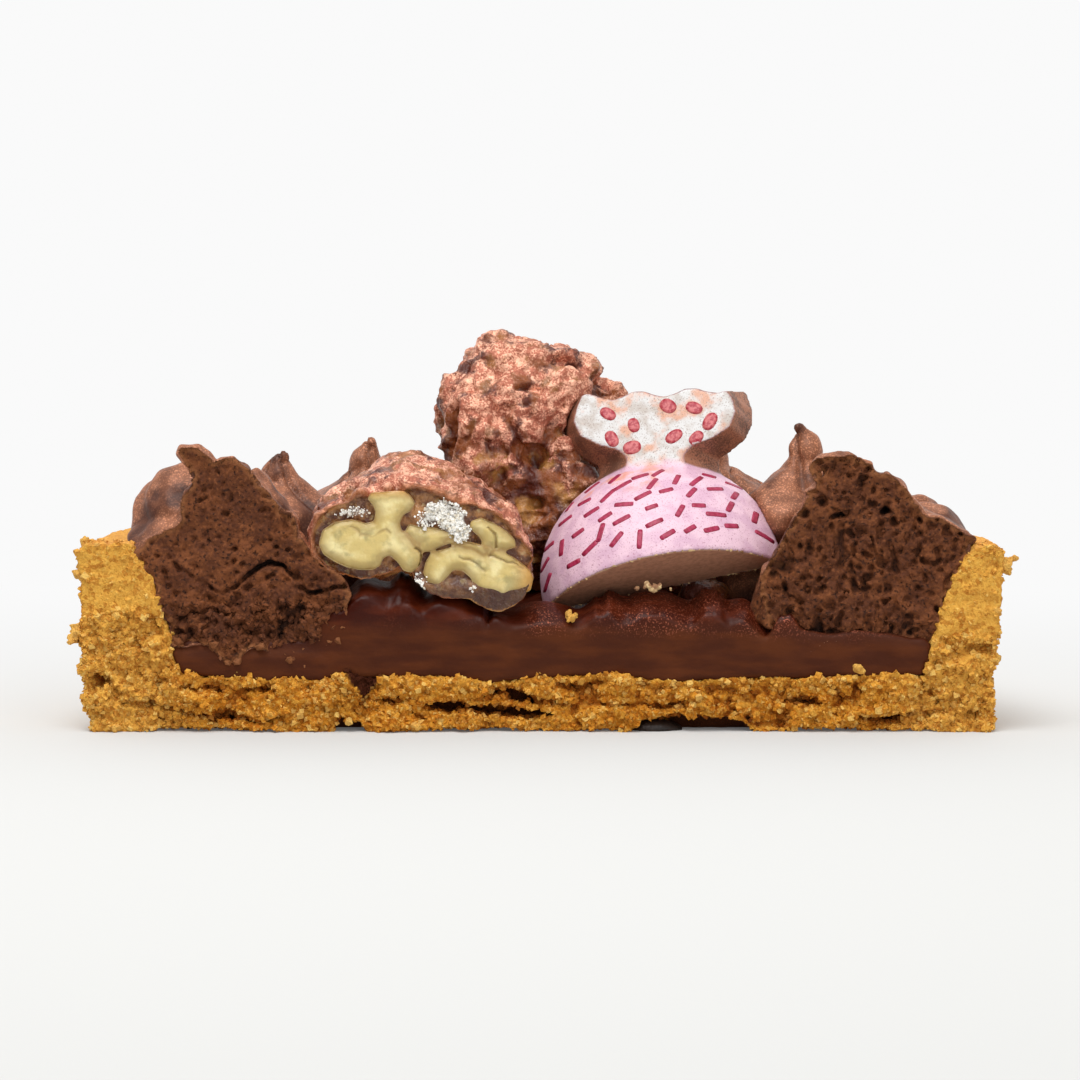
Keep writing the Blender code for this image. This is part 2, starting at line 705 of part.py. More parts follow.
def build():
    """Make every piece, fit the soft ones round the firm ones and name them."""
    inside = cavity("inside", GAP)
    front_lobes = leaning(ellipsoids("front_nut", in_metres(FRONT_NUT)), NUT_LEAN, NUT_LEAN_HEIGHT)
    front_nut = candied_nut(front_lobes, 760, 3.1)
    back_nut = candied_nut(ellipsoids("back_nut", in_metres(BACK_NUT)), 1000, 5.7)
    fragment = candied_nut(ellipsoids("fragment", in_metres(FRAGMENT)), 220, 8.3)
    chocolate = sweet()
    boolean(back_nut, swollen(chocolate, 1.2 * GAP), "DIFFERENCE")
    drop_scraps(back_nut)
    presses = [swollen(piece, 1.2 * GAP) for piece in (front_nut, back_nut, fragment, chocolate)]

    kernel = keep_half(kernel_body("kernel", 0.0, 800))
    boolean(front_nut, kernel_body("kernel_hole", 1.3 * GAP, 800), "DIFFERENCE")
    keep_half(front_nut)

    filling = ganache(inside)
    for press in presses:
        boolean(filling, press, "DIFFERENCE")
    ganache_press = ganache_body("ganache_press", GAP, -5 * MM)

    for number in range(len(PEAK_TIPS)):
        at_cut = number in (0, len(PEAK_TIPS) - 1)
        peak = whipped_peak(number, inside, [ganache_press, *presses], 800 if at_cut else 450)
        finish(peak, f"whipped_peak_{number + 1}", "whipped_ganache")

    dab = chocolate_dab()
    finish(pastry_shell(swollen(dab, 1.2 * GAP)), "pastry_shell", "shortcrust")
    finish(filling, "praline_ganache", "praline_ganache")
    finish(front_nut, "cut_nut_candy_coat", "candy_coat")
    finish(kernel, "cut_nut_kernel", "nut_kernel")
    finish(back_nut, "whole_candied_nut", "candy_coat")
    finish(fragment, "candied_nut_fragment", "candy_coat")
    finish(chocolate, "moulded_sweet", "printed_chocolate")
    finish(dab, "chocolate_dab", "dark_chocolate")


clear_scene()
TART = collection("praline_tart")
TOOLS = collection("tools", hidden=True)
ORIGIN = bpy.data.objects.new("tart_origin", None)
ORIGIN.location = (0, -RIM_RADIUS / 2, 0)
TART.objects.link(ORIGIN)
build()
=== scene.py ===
import math
from itertools import product

import bmesh
import bpy
import numpy as np
from mathutils import Matrix, Vector
from mathutils.bvhtree import BVHTree
from mathutils.kdtree import KDTree


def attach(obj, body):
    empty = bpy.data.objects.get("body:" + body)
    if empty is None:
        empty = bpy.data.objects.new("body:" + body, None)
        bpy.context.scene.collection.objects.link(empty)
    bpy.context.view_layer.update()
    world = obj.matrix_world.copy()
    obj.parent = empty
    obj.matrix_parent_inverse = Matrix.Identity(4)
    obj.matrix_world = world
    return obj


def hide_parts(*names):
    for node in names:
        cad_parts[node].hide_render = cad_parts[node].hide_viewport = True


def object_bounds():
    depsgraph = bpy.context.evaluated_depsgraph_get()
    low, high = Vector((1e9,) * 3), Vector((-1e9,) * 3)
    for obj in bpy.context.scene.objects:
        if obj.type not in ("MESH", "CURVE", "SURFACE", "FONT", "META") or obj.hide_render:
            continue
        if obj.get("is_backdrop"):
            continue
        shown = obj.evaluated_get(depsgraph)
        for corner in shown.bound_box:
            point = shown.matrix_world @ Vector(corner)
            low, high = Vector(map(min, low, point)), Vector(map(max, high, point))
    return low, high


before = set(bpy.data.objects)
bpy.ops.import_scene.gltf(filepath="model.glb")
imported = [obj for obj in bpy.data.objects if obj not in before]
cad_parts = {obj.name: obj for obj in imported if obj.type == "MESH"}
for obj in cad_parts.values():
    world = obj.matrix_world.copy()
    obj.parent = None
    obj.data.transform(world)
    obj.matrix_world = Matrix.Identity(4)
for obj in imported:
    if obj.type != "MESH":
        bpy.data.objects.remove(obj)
cad_low, cad_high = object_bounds()

# ------------------------------------------------------------------------------------------------
# The table and the light. The half tart stands on a white table under soft lamps, with its cut
# towards the viewer, who looks a little down on it. The far end of the table melts into a white
# wall.

MM = 0.001
CUT = cad_low.y / MM
SIGHT_HEIGHT = 21
SIGHT_DISTANCE = 450
SIGHT_ELEVATION = math.radians(6)
LENS = 138.5
TABLE_SIZE = 3.2
WALL_LIGHT = 0.955
DIM_ROOM = (0.2, 0.2, 0.205, 1)

scene = bpy.context.scene


def placed(name, data, place=Matrix()):
    """A new object in the scene with this mesh, lamp or camera."""
    obj = bpy.data.objects.new(name, data)
    obj.matrix_world = place
    scene.collection.objects.link(obj)
    return obj


def facing(place, target):
    """The matrix of a lamp or camera at a place that looks at a target."""
    turn = (Vector(target) - Vector(place)).to_track_quat("-Z", "Y").to_matrix().to_4x4()
    return Matrix.Translation(place) @ turn


def colour(red, green, blue):
    """A colour as it is seen, 0 to 255 each, in the linear values that shaders take."""
    seen = [channel / 255 for channel in (red, green, blue)]
    return (*[c / 12.92 if c <= 0.04045 else ((c + 0.055) / 1.055) ** 2.4 for c in seen], 1)


class Value:
    """An output of a node, on which sums are written as on a number."""

    def __init__(self, tree, socket):
        self.tree = tree
        self.socket = socket

    def sum(self, operation, *values):
        return self.tree.node("ShaderNodeMath", {"operation": operation}, dict(enumerate(values)))

    def __add__(self, other):
        return self.sum("ADD", self, other)

    def __sub__(self, other):
        return self.sum("SUBTRACT", self, other)

    def __rsub__(self, other):
        return self.sum("SUBTRACT", other, self)

    def __mul__(self, other):
        return self.sum("MULTIPLY", self, other)

    __radd__ = __add__
    __rmul__ = __mul__

    def also(self, output):
        """Another output of the same node."""
        return Value(self.tree, self.socket.node.outputs[output])

    def between(self, low, high):
        """0 below low, 1 above high and a smooth step from one to the other."""
        sockets = {"Value": self, "From Min": low, "From Max": high}
        return self.tree.node("ShaderNodeMapRange", {"interpolation_type": "SMOOTHSTEP"}, sockets)


class Tree:
    """A node tree under construction."""

    def __init__(self, tree):
        self.tree = tree

    def node(self, kind, settings=None, sockets=None, output=0):
        """A new node with its settings, then the values or links of its sockets."""
        made = self.tree.nodes.new(kind)
        for name, value in (settings or {}).items():
            setattr(made, name, value)
        for name, value in (sockets or {}).items():
            self.feed(made.inputs[name], value)
        return Value(self, made.outputs[output]) if made.outputs else made

    def feed(self, socket, value):
        """Give a socket a link or a value."""
        if isinstance(value, Value):
            self.tree.links.new(value.socket, socket)
        else:
            socket.default_value = value

    def mix(self, first, second, share):
        """Two colours mixed, by the share of the second."""
        return self.node("ShaderNodeMix", {"data_type": "RGBA"}, {0: share, 6: first, 7: second}, 2)


class Finish(Tree):
    """A material under construction, whose patterns are measured in millimetres on the tart."""

    def __init__(self, name, **constants):
        self.material = bpy.data.materials.new(name)
        self.material.use_nodes = True
        super().__init__(self.material.node_tree)
        self.shader = self.tree.nodes["Principled BSDF"]
        where = self.node("ShaderNodeTexCoord").also("Object")
        in_millimetres = {0: where, "Scale": 1 / MM}
        self.place = self.node("ShaderNodeVectorMath", {"operation": "SCALE"}, in_millimetres)
        for name, value in constants.items():
            self.socket(name).default_value = value

    def socket(self, name):
        """The shader's socket of this name, in small letters with lines between the words."""
        return self.shader.inputs[name.replace("_", " ").title().replace("Ior", "IOR")]

    def noise(self, size, detail=3.0, place=None):
        """Smooth noise from about 0.2 to 0.8 whose patches are about size millimetres across."""
        sockets = {"Vector": place or self.place, "Scale": 1 / size, "Detail": detail}
        return self.node("ShaderNodeTexNoise", None, sockets)

    def cells(self, size):
        """Distance to the nearest grain's middle, for grains about size millimetres across."""
        return self.node("ShaderNodeTexVoronoi", None, {"Vector": self.place, "Scale": 1 / size})

    def painted(self, name):
        """A value that was painted on the piece's points."""
        return self.node("ShaderNodeAttribute", {"attribute_name": name}).also("Fac")

    def bump(self, height, depth):
        """A normal from a height pattern that stands for a depth in millimetres."""
        sockets = {"Height": height, "Strength": 1.0, "Distance": depth * MM}
        return self.node("ShaderNodeBump", None, sockets)

    def done(self, **links):
        """Feed the shader what changes over the surface and return the material."""
        for name, value in links.items():
            self.feed(self.socket(name), value)
        return self.material


target = Vector((0, CUT, SIGHT_HEIGHT)) * MM
back = Vector((0, -math.cos(SIGHT_ELEVATION), math.sin(SIGHT_ELEVATION)))
camera = bpy.data.cameras.new("camera")
camera.lens = LENS
camera.clip_start = 0.01
scene.camera = placed("camera", camera, facing(target + back * SIGHT_DISTANCE * MM, target))
scene.view_settings.view_transform = "Standard"

scene.world = bpy.data.worlds.new("white_studio")
scene.world.use_nodes = True
studio = Tree(scene.world.node_tree)
daylight = scene.world.node_tree.nodes["Background"]
sky = studio.node("ShaderNodeTexCoord").also("Generated")
direction = studio.node("ShaderNodeSeparateXYZ", None, {0: sky})
behind_tart = (direction.also("Y") + direction.also("Z") * 0.9).between(-0.3, 0.5)
studio.feed(daylight.inputs["Color"], studio.mix(DIM_ROOM, (1, 1, 1, 1), behind_tart))
daylight.inputs["Strength"].default_value = WALL_LIGHT

for name, place, size, power in (
    ("lamp_above", (-0.12, -0.24, 0.6), 0.4, 3.2),
    ("lamp_front", (0.3, -0.7, 0.32), 0.5, 1.9),
):
    lamp = bpy.data.lights.new(name, "AREA")
    lamp.size = size
    lamp.energy = power
    placed(name, lamp, facing(place, (0, 0, 0.02)))

table = bpy.data.meshes.new("table")
bm = bmesh.new()
bmesh.ops.create_grid(bm, x_segments=1, y_segments=1, size=TABLE_SIZE / 2)
bm.to_mesh(table)
bm.free()
white = Finish("white_table", roughness=0.8, specular_ior_level=0.0, emission_strength=1.0)
behind = white.node("ShaderNodeSeparateXYZ", None, {0: white.place}).also("Y")
away = behind.between(-50, 110)
cloth = white.mix(colour(187, 187, 185), colour(203, 203, 201), behind.between(-300, -40))
table.materials.append(white.done(
    base_color=white.mix(cloth, (0, 0, 0, 1), away),
    emission_color=white.mix((0, 0, 0, 1), (WALL_LIGHT, WALL_LIGHT, WALL_LIGHT, 1), away),
))
placed("table", table)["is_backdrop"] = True

# ------------------------------------------------------------------------------------------------
# The shell is shortcrust, baked blind. Where the knife went through, the base broke into crumbs and
# pits while the denser walls were cut almost smooth; the rim baked to a soft salmon gold.

CRUST_FACE_DEPTH = 2.8
CRUST_FACE_VOXEL = 0.2
CRUST_WALL_VOXEL = 0.42
CRUST_OVERLAP = 0.25
CRUST_LAP = 0.6
FAR = 90
ALONG_CUT = np.array([1, 0, 0])
IN_CUT_PLANE = np.array([1, 0, 1])
# The loose crumbs on the cut: how many on a square millimetre, and the smallest and largest
CRUST_CRUMBS = (6.0, 0.1, 0.36)
# Gaps that the knife tore open in the base, each bend as x, z, half width and depth
BASE_GAPS = (
    ((-22.0, 1.2, 0.3, 1.2), (-20.8, 0.9, 0.6, 2.2), (-19.6, 0.3, 0.7, 2.2)),
    ((-19.0, 3.7, 0.2, 1.0), (-14.6, 3.2, 0.35, 1.6), (-9.8, 2.7, 0.5, 2.2),
     (-6.6, 3.0, 0.55, 2.4), (-4.2, 3.7, 0.8, 2.6), (-1.8, 3.5, 0.8, 2.6), (0.6, 3.0, 0.5, 2.2),
     (3.0, 2.6, 0.25, 1.2)),
    ((-0.4, 1.9, 0.35, 1.8), (1.6, 1.7, 0.45, 2.2), (3.2, 2.3, 0.2, 1.0)),
    ((6.2, 3.1, 0.15, 1.0), (10.4, 2.7, 0.25, 1.4), (14.8, 2.8, 0.3, 1.4), (17.5, 3.6, 0.2, 1.0)),
    ((26.5, 3.2, 0.25, 1.2), (28.6, 3.3, 0.5, 1.6), (30.6, 3.1, 0.3, 1.2)),
    ((-39.0, 4.7, 0.25, 1.2), (-36.4, 5.0, 0.4, 1.5), (-34.6, 4.4, 0.25, 1.2)),
    ((-31.8, 4.2, 0.3, 1.3), (-30.0, 4.7, 0.35, 1.4), (-28.4, 4.4, 0.2, 1.0)),
    ((-45.5, 3.0, 0.3, 1.2), (-42.6, 3.2, 0.45, 1.5), (-40.0, 2.4, 0.25, 1.2),
     (-36.5, 1.9, 0.3, 1.4)),
    ((-34.0, 1.3, 0.25, 1.4), (-30.4, 1.0, 0.3, 1.6), (-27.0, 1.6, 0.2, 1.0)),
    ((34.4, 1.6, 0.3, 1.3), (38.6, 1.4, 0.4, 1.6), (42.0, 2.2, 0.25, 1.2)),
    ((41.6, 9.6, 0.25, 1.2), (42.2, 8.2, 0.35, 1.5), (43.0, 7.2, 0.25, 1.2)),
)
# Where ganache ran into a crack of the base: x, and the z at which the drip ends
DRIP = -19.1
DRIP_FOOT = 3.5
# Where the base does not touch the table at the cut: middle and half width along x, and how high
UNDERSIDE_ARCHES = (
    (-20.7, 1.7, 1.2),
    (19.0, 4.6, 1.5),
    (30.0, 3.6, 0.5),
    (39.0, 3.2, 0.4),
    (-31.0, 3.0, 0.35),
)
# The two arches whose hollow under the base gets painted shade
SHADED_ARCHES = UNDERSIDE_ARCHES[:2]
PALE_TINT = 0.8
# Where flakes stick out of the cut's outline or lie loose: x, y behind the cut, z, spread and
# number of crumbs
FLAKES = (
    (-50.0, 0.9, 10.8, 0.95, 34),
    (-50.1, 1.2, 17.4, 0.6, 14),
    (-49.2, 1.0, 20.4, 0.7, 14),
    (50.5, 1.2, 18.2, 0.8, 26),
    (49.7, 0.9, 13.2, 0.55, 12),
    (49.5, 1.0, 8.0, 0.5, 10),
    (3.3, 0.4, 12.6, 0.5, 12),
    (34.6, -0.1, 7.0, 0.35, 6),
    (-13.6, -0.2, 0.6, 0.45, 8),
    (-46.0, -0.1, 0.5, 0.4, 7),
)


def copy_of(node):
    """A merged copy of a node's solid, as a new piece."""
    bm = bmesh.new()
    bm.from_mesh(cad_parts[node].data)
    bmesh.ops.remove_doubles(bm, verts=bm.verts, dist=0.001 * MM)
    mesh = bpy.data.meshes.new(node)
    bm.to_mesh(mesh)
    bm.free()
    mesh.materials.clear()
    return placed(node + "_shape", mesh)


def lumps(piece, places):
    """Add ellipsoids to the piece; each is a middle and three radii in millimetres."""
    bm = bmesh.new()
    bm.from_mesh(piece.data)
    for middle, radii in places:
        stretch = Matrix.Diagonal((*(Vector(radii) * MM), 1))
        at = Matrix.Translation(Vector(middle) * MM) @ stretch
        bmesh.ops.create_icosphere(bm, subdivisions=3, radius=1, matrix=at)
    bm.to_mesh(piece.data)
    bm.free()
    return piece


def baked(piece):
    """Give the piece the mesh that its modifiers make, and take them off."""
    graph = bpy.context.evaluated_depsgraph_get()
    mesh = bpy.data.meshes.new_from_object(piece.evaluated_get(graph))
    piece.modifiers.clear()
    piece.data = mesh
    return piece


def shaped(piece, kind, **settings):
    """Apply one modifier to the piece."""
    modifier = piece.modifiers.new(kind.lower(), kind)
    for name, value in settings.items():
        setattr(modifier, name, value)
    return baked(piece)


def fused(piece, voxel, smooth=0):
    """Rebuild the piece's skin from voxels of this size in millimetres, and smooth it."""
    shaped(piece, "REMESH", mode="VOXEL", voxel_size=voxel * MM)
    if smooth:
        shaped(piece, "SMOOTH", factor=0.5, iterations=smooth)
    return piece


def points_of(piece):
    """The piece's points in millimetres."""
    points = np.zeros(len(piece.data.vertices) * 3)
    piece.data.vertices.foreach_get("co", points)
    return points.reshape(-1, 3) / MM


def normals_of(piece):
    """The piece's normals, one for each point."""
    normals = np.zeros(len(piece.data.vertices) * 3)
    piece.data.vertices.foreach_get("normal", normals)
    return normals.reshape(-1, 3)


def move(piece, points):
    """Put the piece's points at these places in millimetres."""
    piece.data.vertices.foreach_set("co", (points * MM).ravel())
    piece.data.update()


def paint(piece, name, values):
    """Keep a value for each of the piece's points, for its material to read."""
    layer = piece.data.attributes.new(name, "FLOAT", "POINT")
    layer.data.foreach_set("value", np.asarray(values, dtype=np.float32))


def hashed(cells, seed):
    """A repeatable number from 0 to 1 for each whole-numbered cell."""
    mixed = cells[:, 0] * 73856093 ^ cells[:, 1] * 19349663
    mixed = mixed ^ cells[:, 2] * 83492791 ^ seed * 19260817
    mixed = (mixed ^ (mixed >> 13)) * 1274126177 & 0xFFFFFFFF
    mixed = (mixed ^ (mixed >> 15)) * 2246822519 & 0xFFFFFFFF
    return ((mixed ^ (mixed >> 16)) & 0xFFFFFF) / 0xFFFFFF


def drift(points, size, seed):
    """Smooth noise from -1 to 1 whose swells are about size millimetres across."""
    scaled = points / size
    cell = np.floor(scaled).astype(np.int64)
    part = scaled - cell
    part = part * part * (3 - 2 * part)
    total = np.zeros(len(points))
    for corner in product((0, 1), repeat=3):
        weight = np.prod(np.where(corner, part, 1 - part), axis=1)
        total += weight * hashed(cell + np.array(corner), seed)
    return 2 * total - 1


def wander(points, size, seed):
    """Three drifts at once, for shifting points to and fro."""
    return np.stack([drift(points, size, seed + axis) for axis in range(3)], axis=1)


def grains(points, size, seed):
    """Distance to the nearest grain's middle, how much further the next is, and its own number."""
    scaled = points / size
    cell = np.floor(scaled).astype(np.int64)
    first = np.full(len(points), 9.0)
    second = np.full(len(points), 9.0)
    own = np.zeros(len(points))
    for step in product((-1, 0, 1), repeat=3):
        near = cell + np.array(step)
        jitter = np.stack([hashed(near, seed + axis) for axis in range(3)], axis=1)
        distance = np.linalg.norm(near + jitter - scaled, axis=1)
        second = np.where(distance < first, first, np.minimum(second, distance))
        own = np.where(distance < first, hashed(near, seed + 3), own)
        first = np.minimum(first, distance)
    return first, second - first, own


def blocks(points, size, seed):
    """A height from -0.5 to 0.5 for each angular crumb of this size, level over the crumb."""
    _, gap, own = grains(points, size, seed)
    return (own - 0.5) * step_up(gap, 0.0, 0.12)


def step_up(values, low, high):
    """0 below low, 1 above high and a smooth step from one to the other."""
    part = np.clip((values - low) / (high - low), 0, 1)
    return part * part * (3 - 2 * part)


def step_down(values, low, high):
    """1 below low, 0 above high and a smooth step from one to the other."""
    return 1 - step_up(values, low, high)


def beside(points, run):
    """Distance to a run of x, z, half width and more, in half widths, and its last value there."""
    place = points[:, [0, 2]]
    run = np.array(run)
    near = np.full(len(points), 9.0)
    last = np.zeros(len(points))
    for start, end in zip(run, run[1:]):
        along = (end - start)[:2]
        share = np.clip(((place - start[:2]) @ along) / (along @ along), 0, 1)
        width = start[2] + share * (end[2] - start[2])
        distance = np.linalg.norm(place - start[:2] - share[:, None] * along, axis=1) / width
        last = np.where(distance < near, start[-1] + share * (end[-1] - start[-1]), last)
        near = np.minimum(near, distance)
    return near, last


def crack_depth(points, cracks):
    """How deep the cracks are at each point, in millimetres, with ragged edges."""
    ragged = points + 0.3 * wander(points, 0.7, 62) + 0.35 * wander(points, 2.2, 65)
    depth = np.zeros(len(points))
    for crack in cracks:
        near, deep = beside(ragged, crack)
        depth = np.maximum(depth, deep * step_down(near, 0.5, 1.3))
    return depth


def box_shape(low, high):
    """A closed box between two corners in millimetres, for cutting."""
    bm = bmesh.new()
    middle = (Vector(low) + Vector(high)) / 2 * MM
    size = (Vector(high) - Vector(low)) * MM
    bmesh.ops.create_cube(bm, size=1, matrix=Matrix.Translation(middle) @ Matrix.Diagonal((*size, 1)))
    mesh = bpy.data.meshes.new("cutter")
    bm.to_mesh(mesh)
    bm.free()
    return placed("cutter", mesh)


def kept_within(piece, low, high, solver="EXACT"):
    """Cut the piece down to what lies in a box."""
    cutter = box_shape(low, high)
    shaped(piece, "BOOLEAN", operation="INTERSECT", solver=solver, object=cutter)
    bpy.data.objects.remove(cutter)
    return piece


def dressed(piece, name, material, node=None, smooth=True):
    """Name a made piece, give it its material and let it stand for its node."""
    piece.name = piece.data.name = name
    piece.data.materials.clear()
    piece.data.materials.append(material)
    if smooth:
        piece.data.shade_smooth()
    else:
        piece.data.shade_flat()
    if node:
        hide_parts(node)
    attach(piece, "root")
    return piece


def scattered(name, ground, share, density, smallest, largest, seed, material, box=False):
    """Round or boxy grains strewn over a piece, by the share painted on it, in millimetres."""
    tree = bpy.data.node_groups.new(name, "GeometryNodeTree")
    wanted = {
        "Geometry": ("NodeSocketGeometry", None),
        "Density": ("NodeSocketFloat", density / MM**2),
        "Smallest": ("NodeSocketFloat", smallest * MM),
        "Largest": ("NodeSocketFloat", largest * MM),
        "Seed": ("NodeSocketInt", seed),
        "Material": ("NodeSocketMaterial", material),
    }
    for title, (kind, _) in wanted.items():
        tree.interface.new_socket(title, in_out="INPUT", socket_type=kind)
    tree.interface.new_socket("Geometry", in_out="OUTPUT", socket_type="NodeSocketGeometry")
    nodes = Tree(tree)
    given = nodes.node("NodeGroupInput")
    part = nodes.node("GeometryNodeInputNamedAttribute", {"data_type": "FLOAT"}, {"Name": share})
    spots = nodes.node("GeometryNodeDistributePointsOnFaces", None, {
        "Mesh": given, "Density": part * given.also("Density"), "Seed": given.also("Seed"),
    })
    if box:
        grain = nodes.node("GeometryNodeMeshCube", None, {"Size": (1.6, 1.6, 1.6)})
    else:
        grain = nodes.node("GeometryNodeMeshIcoSphere", None, {"Radius": 1.0, "Subdivisions": 1})
    vectors, numbers = {"data_type": "FLOAT_VECTOR"}, {"data_type": "FLOAT"}
    turn = nodes.node("FunctionNodeRandomValue", vectors, {0: (0, 0, 0), 1: (6.28, 6.28, 6.28)})
    leanest, fattest = (0.7, 0.7, 0.7), (1.3, 1.3, 1.3)
    stretch = nodes.node("FunctionNodeRandomValue", vectors, {0: leanest, 1: fattest, "Seed": 1})
    chance = nodes.node("FunctionNodeRandomValue", numbers, {2: 0.0, 3: 1.0, "Seed": 3}, 1)
    growth = given.also("Largest") - given.also("Smallest")
    width = given.also("Smallest") + chance * chance * chance * growth
    size = nodes.node("ShaderNodeVectorMath", {"operation": "SCALE"}, {0: stretch, "Scale": width})
    grown = nodes.node("GeometryNodeInstanceOnPoints", None, {
        "Points": spots, "Instance": grain, "Rotation": turn, "Scale": size,
    })
    tint = nodes.node("FunctionNodeRandomValue", numbers, {2: 0.0, 3: 1.0, "Seed": 2}, 1)
    each_grain = {"data_type": "FLOAT", "domain": "INSTANCE"}
    tinted = nodes.node("GeometryNodeStoreNamedAttribute", each_grain, {
        "Geometry": grown, "Name": "tint", "Value": tint,
    })
    real = nodes.node("GeometryNodeRealizeInstances", None, {"Geometry": tinted})
    finished = {"Geometry": real, "Material": given.also("Material")}
    nodes.node("NodeGroupOutput", None, {
        "Geometry": nodes.node("GeometryNodeSetMaterial", None, finished),
    })
    piece = placed(name, ground.data.copy())
    modifier = piece.modifiers.new("strewn", "NODES")
    modifier.node_group = tree
    for item in tree.interface.items_tree:
        if item.in_out == "INPUT" and wanted[item.name][1] is not None:
            modifier[item.identifier] = wanted[item.name][1]
    return baked(piece)


def dressed_grains(piece, name, material, size, depth, seed):
    """Dent every grain of a piece in its own way, keep it above the table, and hand it over."""
    points = points_of(piece)
    points = points + depth * wander(points, size, seed)
    points[:, 2] = np.maximum(points[:, 2], 0)
    move(piece, points)
    dressed(piece, name, material, smooth=False)


def crust_crumble(points):
    """Share of crumbliness: 1 in the base and the lower walls, less in the dense walls above."""
    x, z = points[:, 0], points[:, 2]
    dense_above = np.where(x < 0, 14.0, 10.0) + 2.4 * drift(points, 4.5, 3)
    return 1 - 0.8 * step_up(z, dense_above - 1.5, dense_above + 1.5)


def crust_relief(points, normals):
    """How far the crust's skin stands out in millimetres."""
    behind = points[:, 1] - CUT
    on_cut = step_down(behind, 0.1, 0.8) * step_up(-normals[:, 1], 0.3, 0.7)
    near_cut = step_down(behind, 0.8, 2.6)
    crumb = step_up(crust_crumble(points), 0.25, 0.95)
    bent = points + 0.5 * wander(points, 1.4, 5) + 0.15 * wander(points, 0.5, 8)
    clump, gap, _ = grains(bent * np.array([0.8, 1, 1.1]), 2.1, 11)
    crevice = step_down(gap, 0.0, 0.2) * step_up(drift(points, 3.0, 26), -0.2, 0.5)
    pits = step_up(-drift(points * np.array([0.55, 1, 1.3]), 2.4, 23), 0.25, 0.65)
    crumbly = 0.5 * drift(points, 4.2, 21) + 0.3 * drift(points, 1.9, 22) + 0.4 * (0.45 - clump)
    small = 0.7 * blocks(bent, 1.5, 13) + 0.8 * blocks(bent, 0.85, 17)
    crumbly += small + 0.6 * blocks(bent, 0.48, 19)
    rough = crumbly - 1.3 * pits - 0.9 * crevice - crack_depth(points, BASE_GAPS) - 0.1
    dense = 0.2 * drift(points, 1.1, 24) + 0.22 * blocks(bent, 0.45, 19) - 0.05
    dense -= 0.5 * step_up(-drift(points, 1.5, 27), 0.5, 0.8)
    baked_skin = 0.2 * drift(points, 6.0, 25) + 0.12 * drift(points, 1.1, 24)
    baked_skin += 0.2 * blocks(bent, 0.5, 19)
    baked_skin += 0.55 * near_cut * np.maximum(crumbly, -0.8)
    cut_relief = rough * crumb + dense * (1 - crumb)
    return cut_relief * on_cut + baked_skin * (1 - on_cut)


def shortcrust():
    """Golden crumb: pale grains, painted highlight on crumbs that stand proud, orange to near black
    painted shade in the hollows, a salmon bloom on the baked rim.
    """
    crust = Finish("shortcrust", specular_ior_level=0.12)
    depth_shade = crust.painted("depth_shade")
    fine = crust.noise(0.3, 3.0)
    patch = crust.noise(4.0, 3.0).between(0.42, 0.6)
    grain = crust.node("ShaderNodeSeparateColor", None, {0: crust.cells(0.55).also("Color")})
    tone = crust.mix(colour(208, 140, 42), colour(196, 124, 30), patch)
    tone = crust.mix(tone, colour(228, 172, 76), crust.painted("wall") * 0.75)
    tone = crust.mix(tone, colour(228, 172, 74), grain.between(0.5, 1.0) * 0.45)
    tone = crust.mix(tone, colour(166, 90, 18), (1 - grain).between(0.5, 1.0) * 0.6)
    tone = crust.mix(tone, colour(232, 186, 94), fine.between(0.52, 0.7) * 0.5)
    tone = crust.mix(tone, colour(156, 84, 18), (1 - fine).between(0.54, 0.7) * 0.5)
    # Painted highlight where points stand in front of the cut; painted shade, orange then near black,
    # the deeper they lie behind it
    tone = crust.mix(tone, colour(244, 210, 128), (0.0 - depth_shade).between(0, 0.55) * 0.75)
    tone = crust.mix(tone, colour(242, 204, 116), crust.painted("tint").between(0.55, 1.0) * 0.65)
    tone = crust.mix(tone, colour(150, 76, 14), depth_shade.between(0.35, 1.0) * 0.85)
    tone = crust.mix(tone, colour(56, 22, 5), depth_shade.between(0.9, 2.0) * 0.95)
    tone = crust.mix(tone, colour(64, 26, 9), crust.painted("drip"))
    specks = crust.noise(0.7, 2.0).between(0.7, 0.74) * crust.painted("rim")
    tone = crust.mix(tone, colour(222, 160, 84), crust.painted("rim") * 0.6)
    tone = crust.mix(tone, colour(150, 62, 34), specks)
    height = fine + crust.noise(0.16, 2.0) * 0.3
    return crust.done(base_color=tone, roughness=fine * 0.3 + 0.65, normal=crust.bump(height, 0.3))


